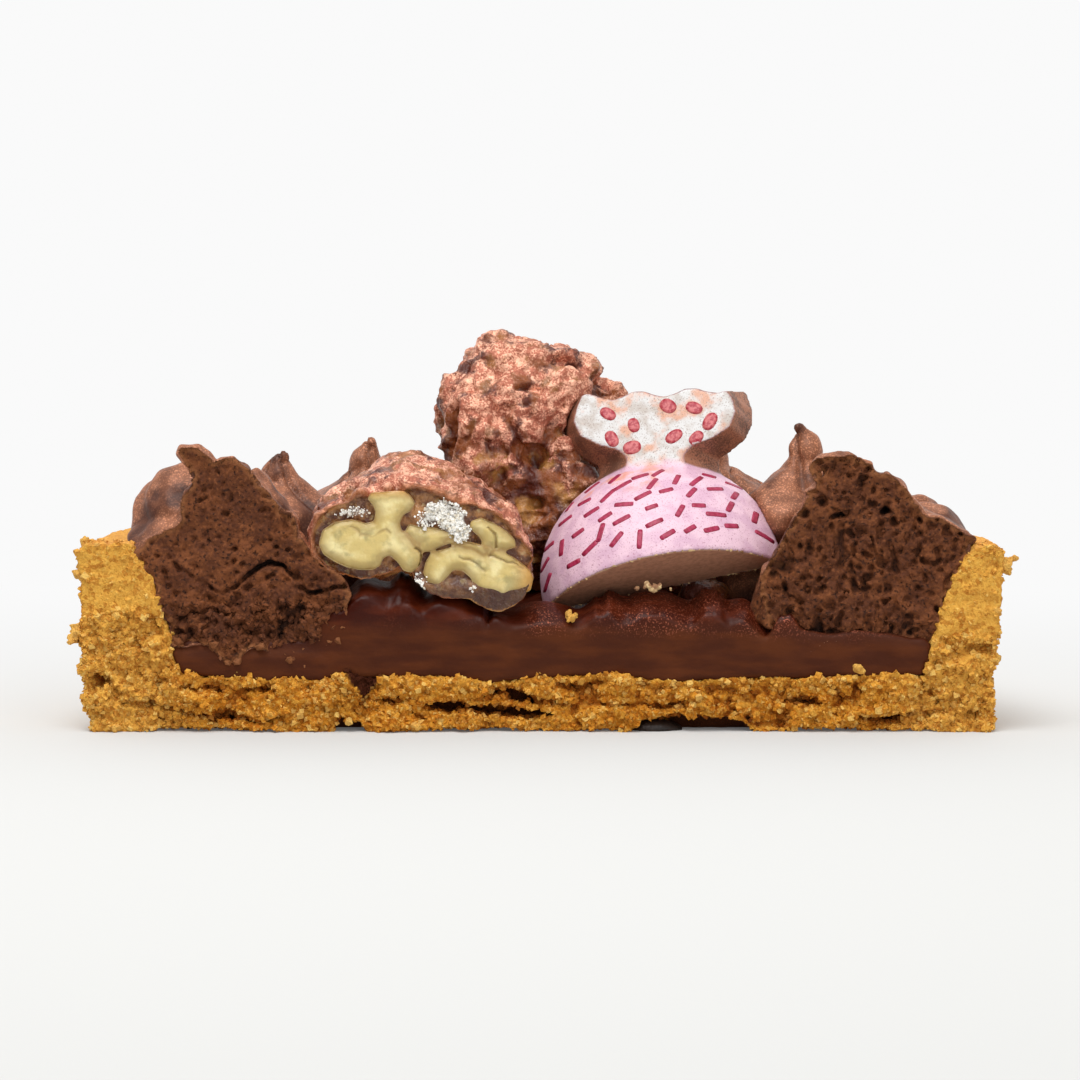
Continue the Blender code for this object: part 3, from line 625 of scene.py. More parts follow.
def paint_crust(piece):
    """Paint how deep the cut lies, for painted shade in hollows and under the first arches and painted
    highlight where crumbs stand proud, the paler walls, the ganache's drip and the baked rim.
    """
    points, normals = points_of(piece), normals_of(piece)
    x, z = points[:, 0], points[:, 2]
    behind = points[:, 1] - CUT
    wall = np.maximum(step_up(z, 4, 9), step_up(np.abs(x), 37, 42))
    radius = np.hypot(x, behind)
    outwards = (x * normals[:, 0] + behind * normals[:, 1]) / radius
    outside = step_up(outwards, 0.3, 0.7) * step_up(radius, 44, 46)
    # Painted shade by depth behind the cut, weaker on the walls and none outside, and filling the
    # first arches under the base
    depth_shade = np.clip(behind, -1, 3) * step_down(behind, CRUST_FACE_DEPTH - 0.5, CRUST_FACE_DEPTH)
    depth_shade *= (1 - 0.55 * wall) * (1 - outside)
    for middle, half_width, high in SHADED_ARCHES:
        under = step_down(np.abs(x - middle) / half_width, 0.9, 1.2)
        under *= step_down(z, high, high + 0.5)
        depth_shade = np.maximum(depth_shade, 3 * under * step_up(behind, 0.3, 1.0))
    paint(piece, "depth_shade", depth_shade)
    paint(piece, "wall", wall)
    foot = DRIP_FOOT + 0.5 * drift(points, 1.2, 28)
    narrow = np.abs(x - DRIP + 0.3 * drift(points, 0.9, 32)) / np.maximum(0.75 * (z - foot), 0.05)
    drip = step_down(narrow, 0.75, 1.0) * step_up(z, foot, foot + 0.3)
    paint(piece, "drip", drip * (1 - outside))
    paint(piece, "rim", step_up(points[:, 2], 18.8, 20.0) * step_up(normals[:, 2], 0.3, 0.8))


crust_material = shortcrust()
for name, voxel, low_y, high_y in (
    ("crust_cut_face", CRUST_FACE_VOXEL, -FAR, CUT + CRUST_FACE_DEPTH),
    ("crust_wall", CRUST_WALL_VOXEL, CUT + CRUST_FACE_DEPTH - CRUST_LAP, FAR),
):
    crust = kept_within(copy_of("pastry_shell"), (-FAR, low_y, -FAR), (FAR, high_y, FAR))
    fused(crust, voxel, 1)
    points, normals = points_of(crust), normals_of(crust)
    relief = crust_relief(points, normals)
    facing_front = step_up(-normals[:, 1], 0.3, 0.7)
    sideways = normals * IN_CUT_PLANE * (CRUST_OVERLAP * facing_front)[:, None]
    points = points + normals * (relief + 0.15 * (1 - facing_front))[:, None] + sideways
    lifted = 0.45 * step_up(drift(points * ALONG_CUT, 6.5, 29), -0.1, 0.5)
    for middle, half_width, high in UNDERSIDE_ARCHES:
        aside = np.abs(points[:, 0] - middle) / half_width
        aside += 0.2 * drift(points * ALONG_CUT, 1.6, 30)
        lifted = np.maximum(lifted, high * step_down(aside, 0.4, 1.1))
    lifted *= step_down(points[:, 1] - CUT, 1.8, 3.2)
    points[:, 2] = np.maximum(points[:, 2], lifted)
    move(crust, points)
    if name == "crust_cut_face":
        fused(crust, voxel)
        points, normals = points_of(crust), normals_of(crust)
        facing_us = step_down(points[:, 1] - CUT, 1.6, 2.3)
        ragged_rim = 0.5 * step_up(points[:, 2], 18.6, 19.6)
        share = np.maximum(step_up(crust_crumble(points), 0.3, 0.9), ragged_rim)
        paint(crust, "crumb", facing_us * (0.9 * share + 0.1))
    paint_crust(crust)
    dressed(crust, name, crust_material, "pastry_shell")

face = bpy.data.objects["crust_cut_face"]
crumbs = scattered("crumbs_on_the_cut", face, "crumb", *CRUST_CRUMBS, 4, crust_material, box=True)
dressed_grains(crumbs, "crumbs_on_the_cut", crust_material, 0.3, 0.19, 31)

random = np.random.default_rng(7)
flakes = placed("flakes", bpy.data.meshes.new("flakes"))
for x, y, z, spread_out, count in FLAKES:
    heap = random.normal(0, spread_out * 0.55, (count, 3)) + (x, CUT + y, z)
    heap[:, 2] = np.maximum(heap[:, 2], 0.35)
    lumps(flakes, [(spot, random.uniform(0.18, 0.5, 3)) for spot in heap])
fused(flakes, 0.13)
paint(flakes, "tint", np.full(len(flakes.data.vertices), PALE_TINT))
dressed_grains(flakes, "crust_flakes", crust_material, 0.35, 0.14, 33)

# ------------------------------------------------------------------------------------------------
# The praline ganache was poured on the base and spooned into soft lumps in the middle. It is glossy
# on top, silky where the knife smeared it, and shimmers with a little copper dust at its front edge.

GANACHE_VOXEL = 0.4
GANACHE_OVERLAP = 0.4
# The lumps that show at the cut: middle and half width along x
FRONT_LUMPS = ((-18.9, 4.3), (-10.2, 4.6), (0.5, 6.3), (12.8, 6.1), (22.6, 3.9))


def ganache_finish():
    """Dark ganache, glossy on the lumps and satin on the cut, with faint smears."""
    ganache = Finish("praline_ganache", specular_ior_level=0.14)
    cut = ganache.painted("cut")
    drawn_out = {0: ganache.place, 1: (0.25, 1, 1)}
    smear = ganache.node("ShaderNodeVectorMath", {"operation": "MULTIPLY"}, drawn_out)
    streak = ganache.noise(1.4, 4.0, smear)
    tone = ganache.mix(colour(56, 15, 4), colour(78, 28, 10), streak.between(0.4, 0.65))
    cut_tone = ganache.mix(colour(68, 28, 8), colour(86, 40, 13), streak.between(0.35, 0.7))
    tone = ganache.mix(tone, cut_tone, cut)
    dust = ganache.noise(0.2, 2.0).between(0.54, 0.68) * ganache.painted("dust")
    tone = ganache.mix(tone, colour(172, 96, 72), dust * 0.7)
    rough = cut * 0.24 + 0.3 + streak * 0.14
    height = ganache.noise(1.1, 3.0) + ganache.noise(0.25, 2.0) * 0.15
    return ganache.done(
        base_color=tone, roughness=rough, metallic=dust * 0.5, normal=ganache.bump(height, 0.12)
    )


filling = fused(copy_of("praline_ganache"), GANACHE_VOXEL, 10)
points, normals = points_of(filling), normals_of(filling)
swell = GANACHE_OVERLAP + 0.22 * drift(points, 3.0, 41) + 0.08 * drift(points, 1.1, 42)
points = points + normals * swell[:, None]
x, z = points[:, 0], points[:, 2].copy()
near_cut = step_down(points[:, 1] - CUT, 5, 9)
aside = np.min([np.abs(x - middle) / half_width for middle, half_width in FRONT_LUMPS], axis=0)
on_top = step_up(normals[:, 2], 0.0, 0.5) * step_up(z, 8.4, 9.4) * near_cut
filled = 2.1 * step_up(aside, 0.5, 0.95) * step_down(aside, 1.2, 1.5)
filled += 1.2 * step_up(x, -25, -21) * step_down(x, -8, -4)
furrow = 0.8 * step_up(aside, 0.88, 1.0) * step_down(aside, 1.05, 1.2)
points[:, 2] += on_top * (filled - furrow)
smeared = step_up(normals[:, 2], 0.2, 0.7) * step_up(x, 24, 27) * step_up(points[:, 2], 8.5, 9.2)
smeared *= step_down(x, 41.5, 43) * step_down(points[:, 1] - CUT, 0.9, 1.8)
points[:, 2] += smeared * (1.2 + 0.8 * drift(points * ALONG_CUT, 3.1, 45))
under_peaks = step_up(points[:, 2], 8.0, 9.6) * step_up(-points[:, 0], 21.0, 25.0)
smooth_cut = CUT + 0.05 + 0.1 * drift(points, 2.5, 43) + 0.5 * under_peaks
points[:, 1] = np.maximum(points[:, 1], smooth_cut)
move(filling, points)
points = points_of(shaped(filling, "SMOOTH", factor=0.5, iterations=5))
on_cut = step_down(points[:, 1] - CUT, 0.3, 0.9)
paint(filling, "cut", on_cut * step_down(points[:, 2], 10.5, 13.0))
dusted = step_up(drift(points, 4.0, 44) + 0.04 * points[:, 0], -0.1, 0.6)
dusted *= step_up(points[:, 2], 10.2, 11.2)
paint(filling, "dust", dusted * (0.35 + 0.65 * near_cut))
dressed(filling, "praline_ganache_filling", ganache_finish(), "praline_ganache")

# ------------------------------------------------------------------------------------------------
# Whipped ganache was piped round the rim in peaks whose tips were pulled up and in. Their skins
# are smooth under a dusting of copper lustre. The knife tore the outer two open: airy, matt and
# full of pores.

PEAK_VOXEL = 0.3
CUT_PEAK_VOXEL = 0.16
PEAK_COUNT = 8
PEAK_OVERLAP = 0.4
# Cracks in the two torn cuts: x, z, half width and depth at each bend
LEFT_CRACKS = (
    ((-41.0, 21.2, 0.12, 0.6), (-39.2, 17.9, 0.16, 1.2), (-37.0, 16.5, 0.12, 1.0),
     (-34.6, 15.3, 0.14, 1.4), (-33.2, 15.7, 0.16, 1.8), (-31.2, 17.4, 0.22, 2.2),
     (-29.4, 18.4, 0.36, 2.6), (-27.6, 17.9, 0.26, 2.2), (-26.2, 16.6, 0.12, 1.4)),
    ((-26.6, 16.0, 0.14, 1.2), (-24.2, 15.3, 0.26, 2.4), (-21.4, 15.9, 0.2, 2.0)),
    ((-41.4, 11.9, 0.2, 1.0), (-38.5, 12.6, 0.22, 1.5), (-35.5, 13.4, 0.22, 1.4),
     (-33.0, 12.6, 0.2, 1.0)),
    ((-40.5, 8.6, 0.6, 1.8), (-39.4, 8.3, 0.7, 1.8)),
    ((-33.7, 26.2, 0.12, 1.0), (-33.5, 25.2, 0.2, 1.2)),
)
RIGHT_CRACKS = (
    ((27.4, 26.6, 0.18, 1.2), (27.3, 25.6, 0.2, 1.2)),
    ((31.6, 23.4, 0.3, 1.6), (32.8, 23.9, 0.5, 1.8)),
    ((32.6, 21.6, 0.35, 1.4), (32.8, 18.2, 0.3, 1.2)),
    ((38.0, 20.2, 0.3, 1.4), (38.6, 17.4, 0.35, 1.3)),
    ((35.2, 19.4, 0.4, 1.2), (36.0, 19.0, 0.3, 1.0)),
)
# The air bubbles in the two cuts: size, how rare and how deep
LEFT_PORES = ((0.6, 0.58, 0.7), (0.4, 0.52, 0.5))
RIGHT_PORES = ((0.9, 0.62, 0.9), (0.58, 0.46, 0.7), (0.38, 0.38, 0.5))
# The bits that the knife loosened: how many on a square millimetre, the smallest and the largest
LEFT_BITS = (3.0, 0.1, 0.55)
RIGHT_BITS = (3.0, 0.1, 0.36)


def whipped_finish():
    """Whipped ganache: matt crumb on the cut, its pores and deeper parts darkened as painted shade, a
    coppery satin skin outside darkened with painted shade in its sunken lines.
    """
    whipped = Finish("whipped_ganache", specular_ior_level=0.25)
    cut = whipped.painted("cut")
    depth_shade = whipped.painted("depth_shade")
    patch = whipped.noise(2.2, 4.0)
    fine = whipped.noise(0.35, 4.0)
    crumb = whipped.mix(colour(88, 46, 23), colour(116, 65, 34), patch.between(0.38, 0.66))
    crumb = whipped.mix(crumb, colour(142, 84, 46), fine.between(0.54, 0.7) * 0.5)
    crumb = whipped.mix(crumb, colour(60, 28, 15), (1 - fine).between(0.52, 0.66) * 0.5)
    # Painted shade: the pores are darkened as small holes in shade
    pores = whipped.noise(0.42, 3.0).between(0.6, 0.68)
    crumb = whipped.mix(crumb, colour(40, 18, 9), pores * 0.75)
    # Painted shade, darker the deeper a point lies behind the cut
    crumb = whipped.mix(crumb, colour(34, 15, 8), depth_shade.between(0.3, 1.5))
    skin = whipped.mix(colour(74, 38, 24), colour(104, 60, 39), patch.between(0.4, 0.65))
    high = whipped.node("ShaderNodeSeparateXYZ", None, {0: whipped.place}).also("Z").between(16, 28)
    film = (whipped.noise(4.0, 4.0) + high * 0.12).between(0.42, 0.66) * (1 - cut)
    glitter = whipped.noise(0.2, 2.0).between(0.5, 0.64)
    dust = (glitter * 0.55 + 0.4) * film + glitter * (1 - cut) * 0.12
    skin = whipped.mix(skin, colour(208, 140, 104), dust * 0.8)
    # Painted shade in the sunken lines along the peaks
    skin = whipped.mix(skin, colour(58, 27, 17), whipped.painted("shaded_groove") * 0.4)
    tone = whipped.mix(skin, crumb, cut)
    tone = whipped.mix(tone, colour(138, 86, 50), whipped.painted("edge") * 0.8)
    rough = cut * 0.35 + 0.4 + fine * 0.12
    height = whipped.noise(0.6, 5.0) * (cut * 0.85 + 0.15) + fine * cut * 0.4 - pores * cut * 0.5
    return whipped.done(
        base_color=tone, roughness=rough, metallic=dust * 0.25, normal=whipped.bump(height, 0.3)
    )


def pulled_tip(peak):
    """Draw the peak's top out thinner, and add the curl that the nozzle left there, and its bead."""
    points = points_of(peak)
    top = points[points[:, 2].argmax()]
    slim = 1 - 0.5 * step_up(points[:, 2], top[2] - 6.5, top[2] - 2.5)
    points[:, :2] = top[:2] + (points[:, :2] - top[:2]) * slim[:, None]
    move(peak, points)
    inwards = -np.array([top[0], top[1] - CUT, 0.0])
    inwards /= np.linalg.norm(inwards)
    steps = np.linspace(0, 1, 9)
    curl = [top + (0, 0, 2.6 * share - 2.6) + inwards * (0.9 * share**2 - 0.5) for share in steps]
    thickness = 1.2 * (1 - steps) ** 1.5 + 0.42
    return lumps(peak, [(place, [radius] * 3) for place, radius in zip(curl, thickness)])


def nearest(points, others):
    """For each point, the number of the nearest of the others and how far it is."""
    tree = KDTree(len(others))
    for index, other in enumerate(others):
        tree.insert(other, index)
    tree.balance()
    _, index, distance = zip(*[tree.find(point) for point in points])
    return np.array(index), np.array(distance)


def torn_relief(points, roughness, pores, seed):
    """How deep the torn cut of a whipped peak lies at each point, in millimetres."""
    bent = points + 0.35 * wander(points, 1.0, seed + 30) + 0.2 * wander(points, 0.45, seed + 33)
    depth = 0.3 + (0.2 + 0.4 * roughness) * drift(points, 3.6, seed + 10)
    depth += (0.08 + 0.6 * roughness) * drift(points, 1.6, seed + 11)
    depth += (0.05 + 1.5 * roughness) * blocks(bent, 1.7, seed)
    depth += (0.08 + 0.9 * roughness) * blocks(bent, 0.85, seed + 5)
    depth += (0.1 + 0.35 * roughness) * blocks(bent, 0.42, seed + 8)
    airy = 0.5 + 0.5 * drift(points, 4.5, seed + 13)
    for size, least, deep in pores:
        pore = -drift(bent * np.array([1.25, 1, 0.75]), size, seed + int(size * 20))
        depth += deep * step_up(pore, least - 0.2 * airy, least - 0.2 * airy + 0.12)
    return np.maximum(depth, 0)


def torn_open(points, behind, on_cut, left, seed):
    """Where the points of an outer peak go as its cut droops and tears into pores and cracks."""
    points[:, 1] = np.maximum(points[:, 1], CUT)
    z = points[:, 2]
    ragged = step_down(behind, 0.6, 2.2)[:, None] * IN_CUT_PLANE
    points = points + ragged * (0.3 * wander(points, 0.9, 63) + 0.45 * wander(points, 2.3, 66))
    drooping = (1.3 if left else 0.2) + 1.3 * drift(points * ALONG_CUT, 2.6, 67)
    drooping *= step_down(points[:, 2], 9.8, 12.0)
    points[:, 2] -= drooping * step_down(behind, 0.4, 1.5)
    roughness = 1 - step_up(z, 13.5, 18.0) * 0.88 if left else 0.24 - 0.14 * step_up(z, 17, 24)
    depth = torn_relief(points, roughness, LEFT_PORES if left else RIGHT_PORES, seed)
    depth = np.maximum(depth, crack_depth(points, LEFT_CRACKS if left else RIGHT_CRACKS))
    if not left:
        depth += 0.55 * step_down(z, 10.6, 12.0)
    points[:, 1] += depth * on_cut
    return points


whipped_material = whipped_finish()
for number in range(1, PEAK_COUNT + 1):
    node = f"whipped_peak_{number}"
    peak = copy_of(node)
    left = number == 1
    torn = number in (1, PEAK_COUNT)
    if not torn:
        pulled_tip(peak)
    fused(peak, CUT_PEAK_VOXEL if torn else PEAK_VOXEL, 3 if torn else 8)
    points, normals = points_of(peak), normals_of(peak)
    middle = points.mean(axis=0)
    angle = np.arctan2(points[:, 1] - middle[1], points[:, 0] - middle[0])
    fold = np.abs(np.sin(2.5 * angle + 0.28 * points[:, 2] + number))
    # The sunken lines along the peaks, pressed in and darkened with painted shade
    shaded_groove = step_down(fold, 0.0, 0.45) * step_up(points[:, 2], 15, 21)
    swell = PEAK_OVERLAP - 0.6 * shaded_groove + 0.3 * drift(points, 4.5, 50 + number)
    swell += 0.1 * drift(points, 1.2, 51)
    swell += 0.3 * drift(points, 1.7, 52 + number) * step_up(points[:, 2], 22, 26)
    behind = points[:, 1] - CUT
    on_cut = step_down(behind, 0.1, 0.7) * step_up(-normals[:, 1], 0.35, 0.75) * torn
    sideways = normals * IN_CUT_PLANE * on_cut[:, None]
    points = points + (normals * (1 - on_cut)[:, None] + sideways) * swell[:, None]
    depth_shade = edge = strewn = np.zeros(len(points))
    if torn:
        torn_points = torn_open(points, behind, on_cut, left, 70 + number)
        move(peak, torn_points)
        points = points_of(fused(peak, CUT_PEAK_VOXEL))
        index, _ = nearest(points, torn_points)
        on_cut, shaded_groove = on_cut[index], shaded_groove[index]
        # Painted shade: how deep each point of the torn cut lies behind it
        depth_shade = np.clip(points[:, 1] - CUT - 0.35, 0, 3) * on_cut
        front_skin = points[(on_cut < 0.5) & (points[:, 1] < CUT + 2.5)]
        _, distance = nearest(points, front_skin)
        edge = on_cut * step_down(distance, 0.15, 0.7)
        strewn = on_cut * step_up(15.5 - points[:, 2], 0, 2) if left else 0.15 * on_cut
        inner_side = step_up(27.5 - np.abs(points[:, 0]), 0, 2)
        inner_side *= step_up(18.0 - points[:, 2], 0, 1.5)
        on_cut = np.maximum(on_cut, inner_side * step_down(points[:, 1] - CUT, 2.5, 4.0))
    else:
        move(peak, points)
    paint(peak, "cut", on_cut)
    paint(peak, "depth_shade", depth_shade)
    paint(peak, "edge", edge)
    paint(peak, "shaded_groove", shaded_groove)
    if torn:
        paint(peak, "strewn", strewn)
    dressed(peak, f"whipped_ganache_peak_{number}", whipped_material, node)
    if torn:
        name = f"bits_on_peak_{number}"
        amounts = LEFT_BITS if left else RIGHT_BITS
        bits = scattered(name, peak, "strewn", *amounts, number, whipped_material)
        dressed_grains(bits, name, whipped_material, 0.4, 0.24, 35)

# ------------------------------------------------------------------------------------------------
# Two walnut halves were tossed in caramel until the sugar set in crags, then dusted with copper
# lustre. The knife opened the front one: pale kernel folds in dark sticky caramel, with patches of
# white sugar.

# The cut nut's coat, as ellipsoids: x, y behind the cut, z and three radii
CUT_NUT = (
    ((-18.7, 2.0, 22.0), (6.5, 8.0, 5.5)),
    ((-14.3, 3.0, 23.6), (7.2, 8.6, 6.0)),
    ((-8.8, 3.0, 20.7), (6.9, 8.6, 6.3)),
    ((-4.7, 2.0, 17.7), (4.1, 7.5, 4.9)),
)
# The outlines of its kernel's folds on the cut, in x and z
KERNEL_FOLDS = (
    ((-24.0, 20.5), (-23.6, 22.0), (-22.3, 22.9), (-20.4, 23.2), (-18.9, 22.8), (-18.0, 23.0),
     (-17.8, 24.1), (-18.3, 25.0), (-18.7, 25.5), (-18.3, 26.1), (-17.1, 26.2), (-15.9, 26.3),
     (-14.7, 26.3), (-14.0, 25.8), (-13.5, 25.0), (-14.0, 24.1), (-14.8, 23.7), (-15.2, 22.8),
     (-15.0, 22.0), (-14.1, 21.3), (-13.1, 20.5), (-12.7, 19.3), (-13.0, 18.2), (-13.9, 17.4),
     (-14.8, 17.6), (-15.5, 18.6), (-16.3, 19.3), (-17.0, 19.0), (-17.3, 18.2), (-18.1, 17.7),
     (-19.7, 17.7), (-21.0, 18.0), (-22.3, 18.6), (-23.5, 19.4)),
    ((-12.4, 18.6), (-12.7, 17.4), (-12.2, 16.4), (-10.9, 16.0), (-10.1, 16.9), (-9.4, 17.7),
     (-8.4, 17.6), (-7.5, 16.8), (-7.1, 15.7), (-6.0, 15.1), (-4.1, 14.9), (-2.1, 14.9),
     (-1.0, 15.5), (-0.7, 16.8), (-1.1, 17.7), (-2.2, 18.6), (-3.1, 19.2), (-4.5, 19.9),
     (-6.0, 20.3), (-7.5, 20.6), (-9.0, 20.4), (-10.6, 19.9), (-11.8, 19.6)),
    ((-14.7, 21.8), (-14.2, 22.7), (-13.0, 22.4), (-11.3, 22.3), (-10.0, 21.8), (-9.2, 21.3),
     (-9.4, 20.7), (-10.6, 20.3), (-11.7, 19.8), (-12.7, 19.6), (-13.6, 20.5), (-14.4, 21.2)),
    ((-7.5, 23.0), (-6.4, 23.4), (-5.0, 22.8), (-3.7, 22.0), (-2.7, 21.0), (-2.6, 20.2),
     (-3.7, 19.8), (-4.8, 20.0), (-5.6, 19.4), (-6.2, 20.3), (-6.5, 21.2), (-7.2, 21.8),
     (-7.6, 22.4)),
    ((-10.0, 21.2), (-8.3, 20.9), (-6.6, 20.5), (-5.6, 19.9), (-6.0, 19.4), (-7.5, 20.1),
     (-9.4, 20.5), (-10.3, 20.7)),
)
# Shallow creases across the folds: x, z, half width and depth at each bend
KERNEL_CREASES = (
    ((-20.6, 22.6, 0.15, 0.2), (-19.8, 21.6, 0.2, 0.3), (-18.2, 21.3, 0.15, 0.2),
     (-16.6, 21.9, 0.2, 0.3)),
    ((-16.8, 18.6, 0.3, 0.9), (-16.4, 18.0, 0.35, 1.0)),
    ((-8.6, 19.2, 0.15, 0.2), (-7.0, 18.8, 0.2, 0.3), (-6.0, 17.8, 0.15, 0.2)),
    ((-5.4, 19.4, 0.12, 0.3), (-3.6, 18.6, 0.12, 0.3), (-1.8, 17.8, 0.1, 0.2)),
    ((-13.2, 20.0, 0.15, 0.4), (-12.6, 18.8, 0.2, 0.6), (-12.7, 17.4, 0.2, 0.6)),
    ((-5.4, 22.0, 0.1, 0.3), (-4.6, 21.0, 0.15, 0.4), (-4.6, 20.2, 0.15, 0.4)),
)
KERNEL_DEPTH = 3.2
NUT_LEAN = 0.7
NUT_LEAN_HEIGHT = 20
# White sugar on the cut nut: x, z, half width, half height and how thick it lies
SUGAR_PATCHES = (
    (-11.0, 24.0, 1.5, 1.2, 1.0),
    (-9.6, 22.9, 1.6, 1.7, 1.0),
    (-8.6, 21.8, 1.0, 1.0, 1.0),
    (-12.2, 23.2, 1.4, 0.9, 0.4),
    (-20.4, 24.0, 1.7, 0.6, 0.45),
    (-13.0, 16.6, 0.6, 1.1, 0.35),
    (-7.2, 15.8, 0.5, 0.5, 0.3),
)
# Its crystals: how many on a square millimetre, the smallest and the largest
SUGAR_CRYSTALS = (60.0, 0.05, 0.17)
SUGAR_THICKNESS = 0.5


def candy_finish():
    """Caramelised sugar: amber and dark in the hollows, coppery where it stands out, with painted
    glints on the copper.
    """
    candy = Finish("candy_coat", specular_ior_level=0.5)
    high = candy.painted("high")
    cut = candy.painted("cut")
    patch = candy.noise(2.6, 4.0)
    tone = candy.mix(colour(88, 38, 24), colour(146, 82, 44), patch.between(0.42, 0.62))
    golden = candy.noise(3.8, 3.0).between(0.5, 0.64) * (0.35 + candy.painted("low") * 0.65)
    tone = candy.mix(tone, colour(194, 138, 74), golden * 0.85)
    grain = candy.noise(0.22, 3.0)
    patches = candy.noise(1.7, 7.0) * 0.75 + candy.noise(4.6, 2.0) * 0.45
    dust = (patches + high * 0.14 + grain * 0.12 - candy.painted("low") * 0.07).between(0.7, 0.82)
    dust = dust * (1 - cut)
    # Painted glints: the paler copper where the foil catches the light
    sparkle = (grain + candy.noise(1.1, 4.0)).between(0.9, 1.15)
    foil = candy.mix(colour(176, 104, 80), colour(242, 182, 152), sparkle)
    tone = candy.mix(tone, foil, dust * candy.painted("dusted"))
    clear = candy.noise(1.4, 3.0).between(0.4, 0.66)
    caramel = candy.mix(colour(98, 54, 30), colour(186, 132, 80), clear)
    cloudy = candy.noise(0.9, 3.0).between(0.58, 0.7)
    caramel = candy.mix(caramel, colour(204, 176, 128), cloudy * 0.6)
    caramel = candy.mix(caramel, colour(62, 31, 18), candy.painted("low") * 0.9)
    tone = candy.mix(tone, caramel, cut)
    tone = candy.mix(tone, colour(150, 84, 38), candy.painted("edge") * 0.8)
    tone = candy.mix(tone, colour(244, 242, 236), candy.painted("sugar").between(0.25, 0.8))
    rough = 0.16 + candy.noise(0.8, 3.0) * 0.25 + dust * 0.2
    height = candy.noise(0.8, 5.0) + grain * 0.3
    return candy.done(
        base_color=tone, roughness=rough, metallic=dust * 0.4, normal=candy.bump(height, 0.3)
    )


def craggy(points, seed):
    """How far a sugar coat stands out in crags, in millimetres."""
    bent = points + 0.9 * wander(points, 2.2, seed) + 0.2 * wander(points, 0.8, seed + 3)
    lift = 0.9 * drift(bent, 4.4, seed + 1) + 0.9 * blocks(bent, 3.4, seed + 2)
    lift += 0.5 * blocks(bent, 1.7, seed + 6)
    lift += 0.35 * drift(points, 1.5, seed + 7) + 0.22 * blocks(bent, 0.8, seed + 8)
    lift += 0.1 * drift(points, 0.6, seed + 9)
    return lift - 1.4 * step_up(-drift(points, 2.6, seed + 4), 0.4, 0.7)


def sugar_share(points):
    """How thick the white sugar lies at each point of the cut nut, from 0 to 1."""
    share = np.zeros(len(points))
    for x, z, half_width, half_height, thick in SUGAR_PATCHES:
        away = np.hypot((points[:, 0] - x) / half_width, (points[:, 2] - z) / half_height)
        away += 0.3 * drift(points, 0.8, 85)
        share = np.maximum(share, thick * step_down(away, 0.6, 1.2))
    return share * step_down(points[:, 1] - CUT, 2.5, 3.5)


def cut_nut_body():
    """The whole cut nut, leaning back from the knife, without its kernel's hollow."""
    body = lumps(placed("cut_nut", bpy.data.meshes.new("cut_nut")), [
        ((x, CUT + y, z), radii) for (x, y, z), radii in CUT_NUT
    ])
    points = points_of(body)
    points[:, 1] += NUT_LEAN * (points[:, 2] - NUT_LEAN_HEIGHT)
    move(body, points)
    return kept_within(fused(body, 0.25), (-FAR, CUT, -FAR), (FAR, FAR, FAR), "MANIFOLD")


candy_material = candy_finish()
for node, name, voxel, seed, height, amber_below, dusting in (
    ("whole_candied_nut", "candied_nut_behind", 0.2, 81, 1.0, 31.0, 1.0),
    ("cut_nut_candy_coat", "candy_coat_of_cut_nut", 0.18, 91, 0.75, 18.0, 1.0),
    ("candied_nut_fragment", "candied_nut_piece", 0.16, 101, 0.3, 20.0, 0.0),
):
    is_cut = node == "cut_nut_candy_coat"
    nut = fused(cut_nut_body() if is_cut else copy_of(node), voxel, 3)
    points, normals = points_of(nut), normals_of(nut)
    sagging = step_up(points[:, 0], -14.5, -12.5) * step_down(points[:, 2], 15.5, 18.0) * is_cut
    lift = craggy(points, seed) * height * (1 - 0.7 * sagging)
    behind = points[:, 1] - CUT
    on_cut = step_down(behind, 0.1, 0.6) * step_up(-normals[:, 1], 0.7, 0.9) * is_cut
    hollow = 0.8 + 0.3 * drift(points, 1.5, seed + 6) + 0.12 * drift(points, 0.6, seed + 7)
    hollow += 0.4 * step_up(drift(points, 2.1, seed + 5), 0.2, 0.6)
    hollow *= 1 - 0.9 * sagging
    points = points + normals * (lift * (1 - on_cut))[:, None]
    points[:, 1] = np.maximum(points[:, 1], CUT - 0.2) + hollow * on_cut
    move(nut, points)
    shaped(nut, "SMOOTH", factor=0.5, iterations=2)
    high = lift / height + 0.45 * normals[:, 2] + 0.1 * (points[:, 2] - points[:, 2].mean())
    paint(nut, "high", step_up(high, -0.6, 0.35))
    paint(nut, "cut", on_cut)
    paint(nut, "dusted", np.full(len(points), dusting))
    below = amber_below - points[:, 2] + 0.8 * drift(points, 2.5, seed + 11)
    paint(nut, "low", step_up(below, 0, 3))
    paint(nut, "edge", step_down(behind, 0.3, 1.2) * (1 - on_cut) * is_cut * (1 - sagging))
    paint(nut, "sugar", sugar_share(points) * on_cut)
    dressed(nut, name, candy_material, node)


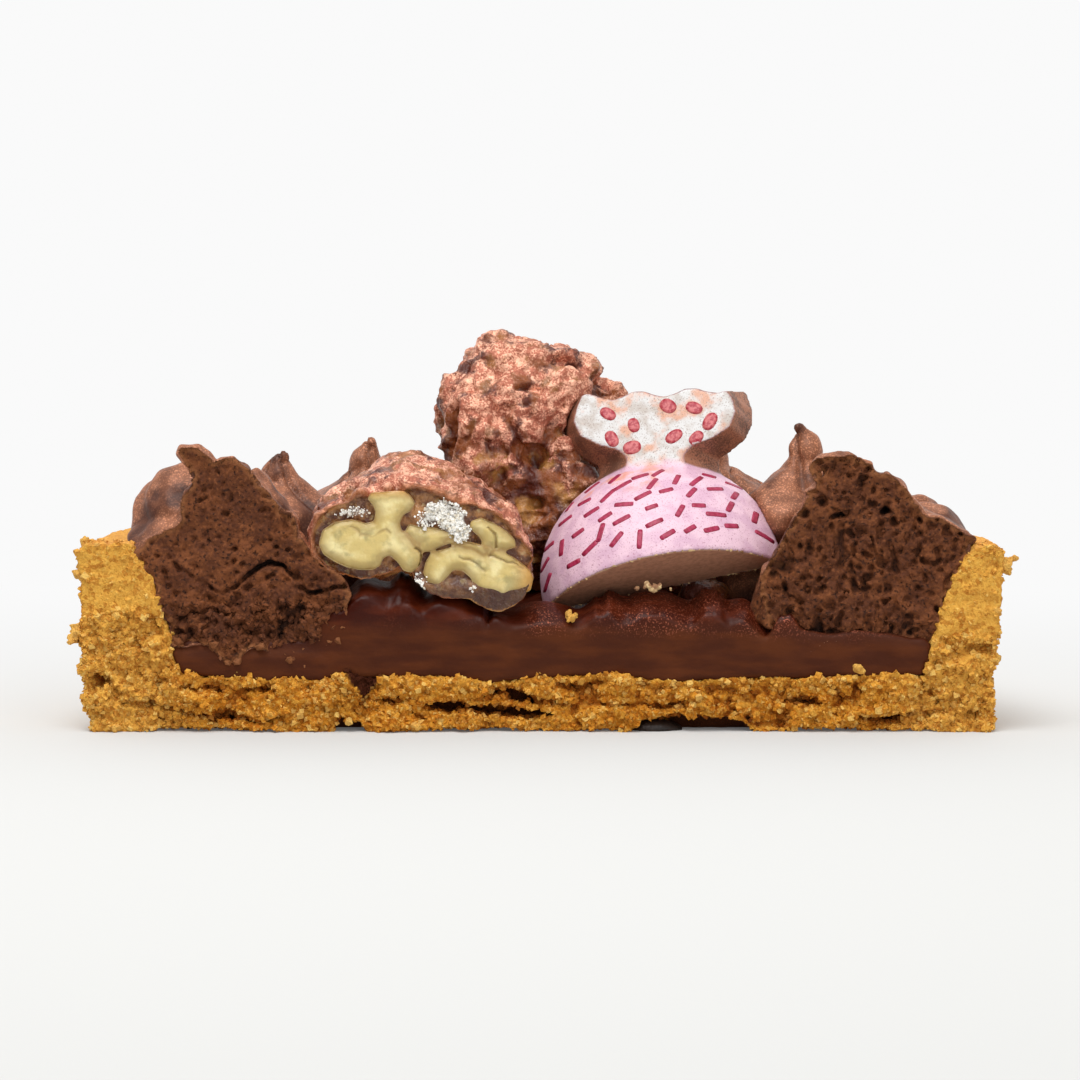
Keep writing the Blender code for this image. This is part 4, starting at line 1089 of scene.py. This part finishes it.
def kernel_finish():
    """Walnut kernel: cream with faint green-brown clouds, painted shade near the folds' outlines and
    in the lines between them, brown on its papery skin.
    """
    kernel = Finish(
        "nut_kernel", specular_ior_level=0.5, subsurface_weight=0.15, subsurface_scale=1.0 * MM
    )
    kernel.shader.inputs["Subsurface Radius"].default_value = (1.0, 0.7, 0.35)
    rind = kernel.painted("rind")
    cloud = kernel.noise(2.2, 4.0)
    tone = kernel.mix(colour(238, 222, 162), colour(214, 190, 120), cloud.between(0.38, 0.6))
    tone = kernel.mix(tone, colour(164, 150, 98), kernel.noise(1.9, 4.0).between(0.5, 0.68) * 0.75)
    # Painted shade: olive towards each fold's outline and brown in the lines between folds
    tone = kernel.mix(tone, colour(174, 146, 84), kernel.painted("edge") * 0.8)
    tone = kernel.mix(tone, colour(150, 112, 58), kernel.painted("shaded_crease") * 0.65)
    tone = kernel.mix(tone, colour(200, 142, 62), kernel.painted("amber") * 0.7)
    tone = kernel.mix(tone, colour(150, 96, 42), rind * 0.85)
    height = kernel.noise(0.9, 4.0)
    rough = cloud * 0.3 + 0.2
    return kernel.done(base_color=tone, roughness=rough, normal=kernel.bump(height, 0.15))


def from_outline(points, outline):
    """How far points are from a closed outline of x and z, in millimetres."""
    return beside(points, [(x, z, 1, 0) for x, z in (*outline, outline[0])])[0]


bm = bmesh.new()
for number, outline in enumerate(KERNEL_FOLDS):
    front = bm.faces.new([bm.verts.new(Vector((x, CUT + 0.05 * number, z)) * MM) for x, z in outline])
    grown = bmesh.ops.extrude_face_region(bm, geom=[front])
    corners = [part for part in grown["geom"] if isinstance(part, bmesh.types.BMVert)]
    bmesh.ops.translate(bm, verts=corners, vec=(0, KERNEL_DEPTH * MM, 0))
bmesh.ops.triangulate(bm, faces=bm.faces)
bmesh.ops.recalc_face_normals(bm, faces=bm.faces)
kernel = placed("kernel", bpy.data.meshes.new("kernel"))
bm.to_mesh(kernel.data)
bm.free()
fused(kernel, 0.14, 8)
points, normals = points_of(kernel), normals_of(kernel)
ragged = points + 0.15 * wander(points, 0.8, 113)
inset = np.min([from_outline(ragged, outline) for outline in KERNEL_FOLDS], axis=0)
shaded_crease = crack_depth(points, KERNEL_CREASES)
facing_us = step_up(-normals[:, 1], 0.2, 0.7)
rounding = 0.35 * step_down(inset, 0.0, 1.1) + shaded_crease + 0.16 * drift(points, 1.9, 111) - 0.1
points[:, 1] += facing_us * rounding
points[:, 1] = np.maximum(points[:, 1], CUT)
move(kernel, points)
# Painted shade near the folds' outlines and in the lines between them
paint(kernel, "edge", step_down(inset, 0.1, 1.5) * facing_us)
paint(kernel, "shaded_crease", np.clip(2.0 * shaded_crease + step_down(inset, 0.0, 0.3), 0, 1) * facing_us)
paint(kernel, "rind", 1 - step_up(-normals[:, 1], 0.1, 0.5))
at_right_end, at_top = step_up(points[:, 0], -3.6, -0.8), step_up(points[:, 2], 25.2, 26.4)
paint(kernel, "amber", np.maximum(at_right_end, 0.7 * at_top))
dressed(kernel, "nut_kernel_folds", kernel_finish(), "cut_nut_kernel")


def sugar_finish():
    """White sugar crystals, some of them glassy amber."""
    sugar = Finish("white_sugar", specular_ior_level=0.5)
    amber = sugar.painted("tint").between(0.6, 1.0)
    tone = sugar.mix(colour(255, 253, 248), colour(232, 222, 202), amber)
    return sugar.done(base_color=tone, roughness=sugar.noise(0.5) * 0.3 + 0.25)


sugar_material = sugar_finish()
coat = bpy.data.objects["candy_coat_of_cut_nut"]
points = points_of(coat)
sugar_bed = placed("sugar_bed", coat.data.copy())
paint(sugar_bed, "white", sugar_share(points))
crystals = scattered("sugar", sugar_bed, "white", *SUGAR_CRYSTALS, 6, sugar_material, box=True)
bpy.data.objects.remove(sugar_bed)
points = points_of(crystals)
heaped = 0.5 + hashed(np.round(points * 2).astype(np.int64), 87)
points[:, 1] -= SUGAR_THICKNESS * heaped
move(crystals, points)
dressed_grains(crystals, "sugar_crystals", sugar_material, 0.5, 0.1, 37)

# ------------------------------------------------------------------------------------------------
# The sweet is milk chocolate, moulded like half of a wrapped sweet: half a ball with a twisted end.
# Coloured cocoa butter was printed on its face, pink with dashes and white with red drops.

SWEET_FOOT = Vector((13.3, 9.0 + CUT, 16.3))
SWEET_LEAN = math.radians(60)
SWEET_TURN = math.radians(-8)
BALL_RADIUS = 13.6
FAN_FACE = 4.0
NECK = 11.4
EDGE_CHIPS = 110
# The flake of chips under the cut's lower edge: its middle, its spread and how many make it
FLAKE_PLACE = (12.4, CUT - 0.1, 16.0)
FLAKE_SPREAD = (0.85, 0.12, 0.14)
FLAKE_CHIPS = 16

sweet_axes = Matrix.Rotation(SWEET_LEAN, 4, "X") @ Matrix.Rotation(SWEET_TURN, 4, "Y")
sweet_place = Matrix.Translation(SWEET_FOOT) @ sweet_axes


def sweet_finish():
    """Printed cocoa butter on the sweet's face, plain milk chocolate on its sides, and on the cut a
    lighter milk chocolate as painted light, since the cut faces down away from the light.
    """
    sweet = Finish("printed_chocolate", specular_ior_level=0.4)
    face = sweet.painted("face")
    fine = sweet.noise(0.22, 3.0)
    cloud = sweet.noise(2.0, 3.0).between(0.4, 0.65)
    pink = sweet.mix(colour(224, 188, 202), colour(208, 168, 188), cloud)
    pink = sweet.mix(pink, colour(164, 104, 124), sweet.noise(0.16, 2.0).between(0.58, 0.68) * 0.7)
    smear = sweet.noise(2.6, 5.0).between(0.48, 0.64) * sweet.painted("smear")
    pink = sweet.mix(pink, colour(218, 140, 106), smear)
    thin = sweet.noise(1.6, 4.0).between(0.45, 0.68)
    paper = sweet.mix(colour(208, 206, 204), colour(186, 176, 168), thin)
    paper = sweet.mix(paper, colour(208, 136, 92), sweet.noise(2.4, 6.0).between(0.5, 0.66) * 0.75)
    paper = sweet.mix(paper, colour(136, 112, 100), sweet.noise(0.16, 2.0).between(0.56, 0.68) * 0.7)
    edge = sweet.painted("up") + sweet.noise(1.5, 2.0) * 1.2 - 0.6
    printed = sweet.mix(pink, paper, sweet.painted("paper") * edge.between(NECK - 0.3, NECK + 0.9))
    dull = sweet.noise(1.2, 4.0).between(0.4, 0.65)
    chocolate = sweet.mix(colour(104, 68, 52), colour(122, 84, 66), dull)
    dust = (sweet.noise(0.2, 3.0) + sweet.noise(2.5, 3.0) - 0.5).between(0.42, 0.66)
    dust = dust * (1 - face) * sweet.painted("side")
    chocolate = sweet.mix(chocolate, colour(184, 126, 98), dust * 0.8)
    tone = sweet.mix(chocolate, printed, face)
    # Painted light: the cut gets a lighter chocolate than the sides because it faces down and gets
    # little light
    scraped = sweet.noise(0.5, 3.0).between(0.35, 0.7)
    lightened_cut = sweet.mix(colour(176, 124, 98), colour(154, 106, 82), scraped)
    lightened_cut = sweet.mix(lightened_cut, colour(214, 182, 150), sweet.painted("shell"))
    tone = sweet.mix(lightened_cut, tone, (face + sweet.painted("side")).between(0.2, 0.8))
    return sweet.done(
        base_color=tone,
        roughness=fine * 0.2 + 0.36,
        metallic=dust * 0.4,
        normal=sweet.bump(sweet.noise(0.3, 3.0), 0.04),
    )


sweet = fused(copy_of("moulded_sweet"), 0.22, 9)
to_own = np.array(sweet_place.inverted())
points = points_of(sweet)
own = points @ to_own[:3, :3].T + to_own[:3, 3]
own_normals = normals_of(sweet) @ to_own[:3, :3].T
across, up, out = own.T
on_ball = step_up(own_normals[:, 2], 0.0, 0.12) * step_up(out, 0.35, 0.6)
on_ball *= step_down(up + 0.2 * drift(own, 1.0, 115), NECK - 0.1, NECK + 0.3)
on_fan = step_up(out, FAN_FACE - 0.5, FAN_FACE - 0.2) * step_up(up, NECK - 1.5, NECK - 1)
on_fan *= step_up(own_normals[:, 2], 0.75, 0.9)
cut_side = step_up(-own_normals[:, 1], 0.8, 0.95) * step_down(up, 1.5, 2.5)
paint(sweet, "face", np.clip(np.maximum(on_ball, on_fan) * (1 - cut_side), 0, 1))
paint(sweet, "up", up)
paint(sweet, "paper", on_fan)
near_skin = step_up(np.hypot(across, up) ** 2 + (out + 5) ** 2, 14.05**2, 14.3**2)
paint(sweet, "shell", cut_side * np.maximum(near_skin, 1 - step_up(out, 0.15, 0.4)) * 0.8)
paint(sweet, "side", 1 - cut_side)
paint(sweet, "smear", step_up(up, 6.0, 9.0) * step_up(3.0 - across, 0, 3) * 0.8)
dressed(sweet, "moulded_sweet_half", sweet_finish(), "moulded_sweet")


def ink_finish(name, first, second):
    """Raised cocoa butter ink in two near tones."""
    ink = Finish(name, specular_ior_level=0.4)
    tone = ink.mix(first, second, ink.noise(0.4, 3.0).between(0.35, 0.65))
    return ink.done(base_color=tone, roughness=ink.noise(0.5, 2.0) * 0.2 + 0.35)


def printed_marks(name, marks, tree, material):
    """Flat marks on the sweet's face, each a middle, two half sizes, a turn and a squareness."""
    rings, sides, thickness = (0.55, 1.0), 16, 0.05
    towards = sweet_axes.to_3x3() @ Vector((0, 0, -1))
    bm = bmesh.new()
    for middle, half_length, half_width, turn, square in marks:
        corners = [Vector(middle)]
        for ring, side in product(rings, range(sides)):
            angle = 2 * math.pi * side / sides
            corner = [
                ring * half * abs(part) ** square * math.copysign(1, part)
                for half, part in ((half_length, math.cos(angle)), (half_width, math.sin(angle)))
            ]
            corners.append(Vector(middle) + Matrix.Rotation(turn, 2) @ Vector(corner))
        starts = [sweet_place @ Vector((*corner, 20)) * MM for corner in corners]
        hits = [tree.ray_cast(start, towards)[:2] for start in starts]
        if any(hit is None or normal.dot(towards) > -0.25 for hit, normal in hits):
            continue
        bottom, top = (
            [bm.verts.new(hit + normal * lift * MM) for hit, normal in hits]
            for lift in (-thickness, 0.6 * thickness)
        )
        for side in range(sides):
            here, after = 1 + side, 1 + (side + 1) % sides
            for layer in (bottom, top):
                bm.faces.new((layer[0], layer[here], layer[after]))
                bm.faces.new((layer[here], layer[sides + here], layer[sides + after], layer[after]))
            here, after = sides + here, sides + after
            bm.faces.new((bottom[here], bottom[after], top[after], top[here]))
    bmesh.ops.recalc_face_normals(bm, faces=bm.faces)
    mesh = bpy.data.meshes.new(name)
    bm.to_mesh(mesh)
    bm.free()
    return dressed(placed(name, mesh), name, material)


def spread(count, apart, inside, random, reach):
    """Random places at least so far apart that satisfy a test."""
    places = []
    for _ in range(count * 60):
        place = random.uniform((-reach[0], -2), reach)
        if inside(*place) and all(math.dist(place, other) > apart for other in places):
            places.append(place)
        if len(places) == count:
            break
    return places


def on_half_ball(x, y):
    """Whether a mark fits on the pink half ball."""
    return math.hypot(x, y) < BALL_RADIUS - 0.9 and y > x * 0.16 + 0.2 and y < NECK - 1.4


def on_paper_end(x, y):
    """Whether a mark fits on the white twisted end."""
    return NECK + 1.6 < y < 18.9 and abs(x) < min(1.2 + (y - NECK) * 1.15, 7.2)


random = np.random.default_rng(5)
sweet_skin = BVHTree.FromObject(sweet, bpy.context.evaluated_depsgraph_get())
dashes = [
    (place, random.uniform(0.75, 1.2), 0.3, random.normal(0.75, 0.5), 0.35)
    for place in spread(46, 1.95, on_half_ball, random, (14, 12))
]
magenta = ink_finish("magenta_ink", colour(142, 18, 54), colour(166, 44, 80))
printed_marks("sweet_dashes", dashes, sweet_skin, magenta)
drops = [
    (place, random.uniform(0.85, 1.15), random.uniform(0.65, 0.85), random.uniform(0, 3), 0.9)
    for place in spread(9, 2.35, on_paper_end, random, (9, 20))
]
red = ink_finish("red_ink", colour(158, 30, 50), colour(196, 104, 104))
printed_marks("sweet_drops", drops, sweet_skin, red)


def chip_finish():
    """Pale cocoa butter and milk chocolate that broke off under the knife."""
    chip = Finish("chocolate_chips", specular_ior_level=0.3)
    browner = chip.noise(0.8, 3.0).between(0.42, 0.62)
    tone = chip.mix(colour(196, 166, 120), colour(138, 98, 68), browner)
    return chip.done(base_color=tone, roughness=chip.noise(0.4) * 0.3 + 0.5)


broken_edge = points[(cut_side > 0.4) & ((out < 0.3) | (near_skin > 0.5))]
spots = broken_edge[random.integers(0, len(broken_edge), EDGE_CHIPS)]
flake = random.normal(FLAKE_PLACE, FLAKE_SPREAD, (FLAKE_CHIPS, 3))
chips = lumps(placed("chips", bpy.data.meshes.new("chips")), [
    *[(spot, random.uniform(0.08, 0.18, 3)) for spot in spots],
    *[(spot, random.uniform(0.18, 0.34, 3)) for spot in flake],
])
fused(chips, 0.1)
dressed_grains(chips, "sweet_chips", chip_finish(), 0.3, 0.1, 39)

# ------------------------------------------------------------------------------------------------
# A dab of dark chocolate, dropped while the tart was made up, sticks under the base.


def dark_chocolate_finish():
    """Dark chocolate with a dull bloom."""
    dark = Finish("dark_chocolate", specular_ior_level=0.25)
    tone = dark.mix(colour(28, 18, 13), colour(42, 30, 24), dark.noise(1.5, 4.0).between(0.4, 0.65))
    rough = dark.noise(0.8) * 0.3 + 0.3
    return dark.done(base_color=tone, roughness=rough, normal=dark.bump(dark.noise(0.6), 0.1))


dab = fused(copy_of("chocolate_dab"), 0.15, 2)
points, normals = points_of(dab), normals_of(dab)
points = points + normals * (0.12 * drift(points, 1.2, 121))[:, None]
points[:, 2] = np.maximum(points[:, 2], 0)
move(dab, points)
dressed(dab, "dark_chocolate_dab", dark_chocolate_finish(), "chocolate_dab")

size = {"cad": [list(cad_low), list(cad_high)], "visual": [list(corner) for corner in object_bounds()]}
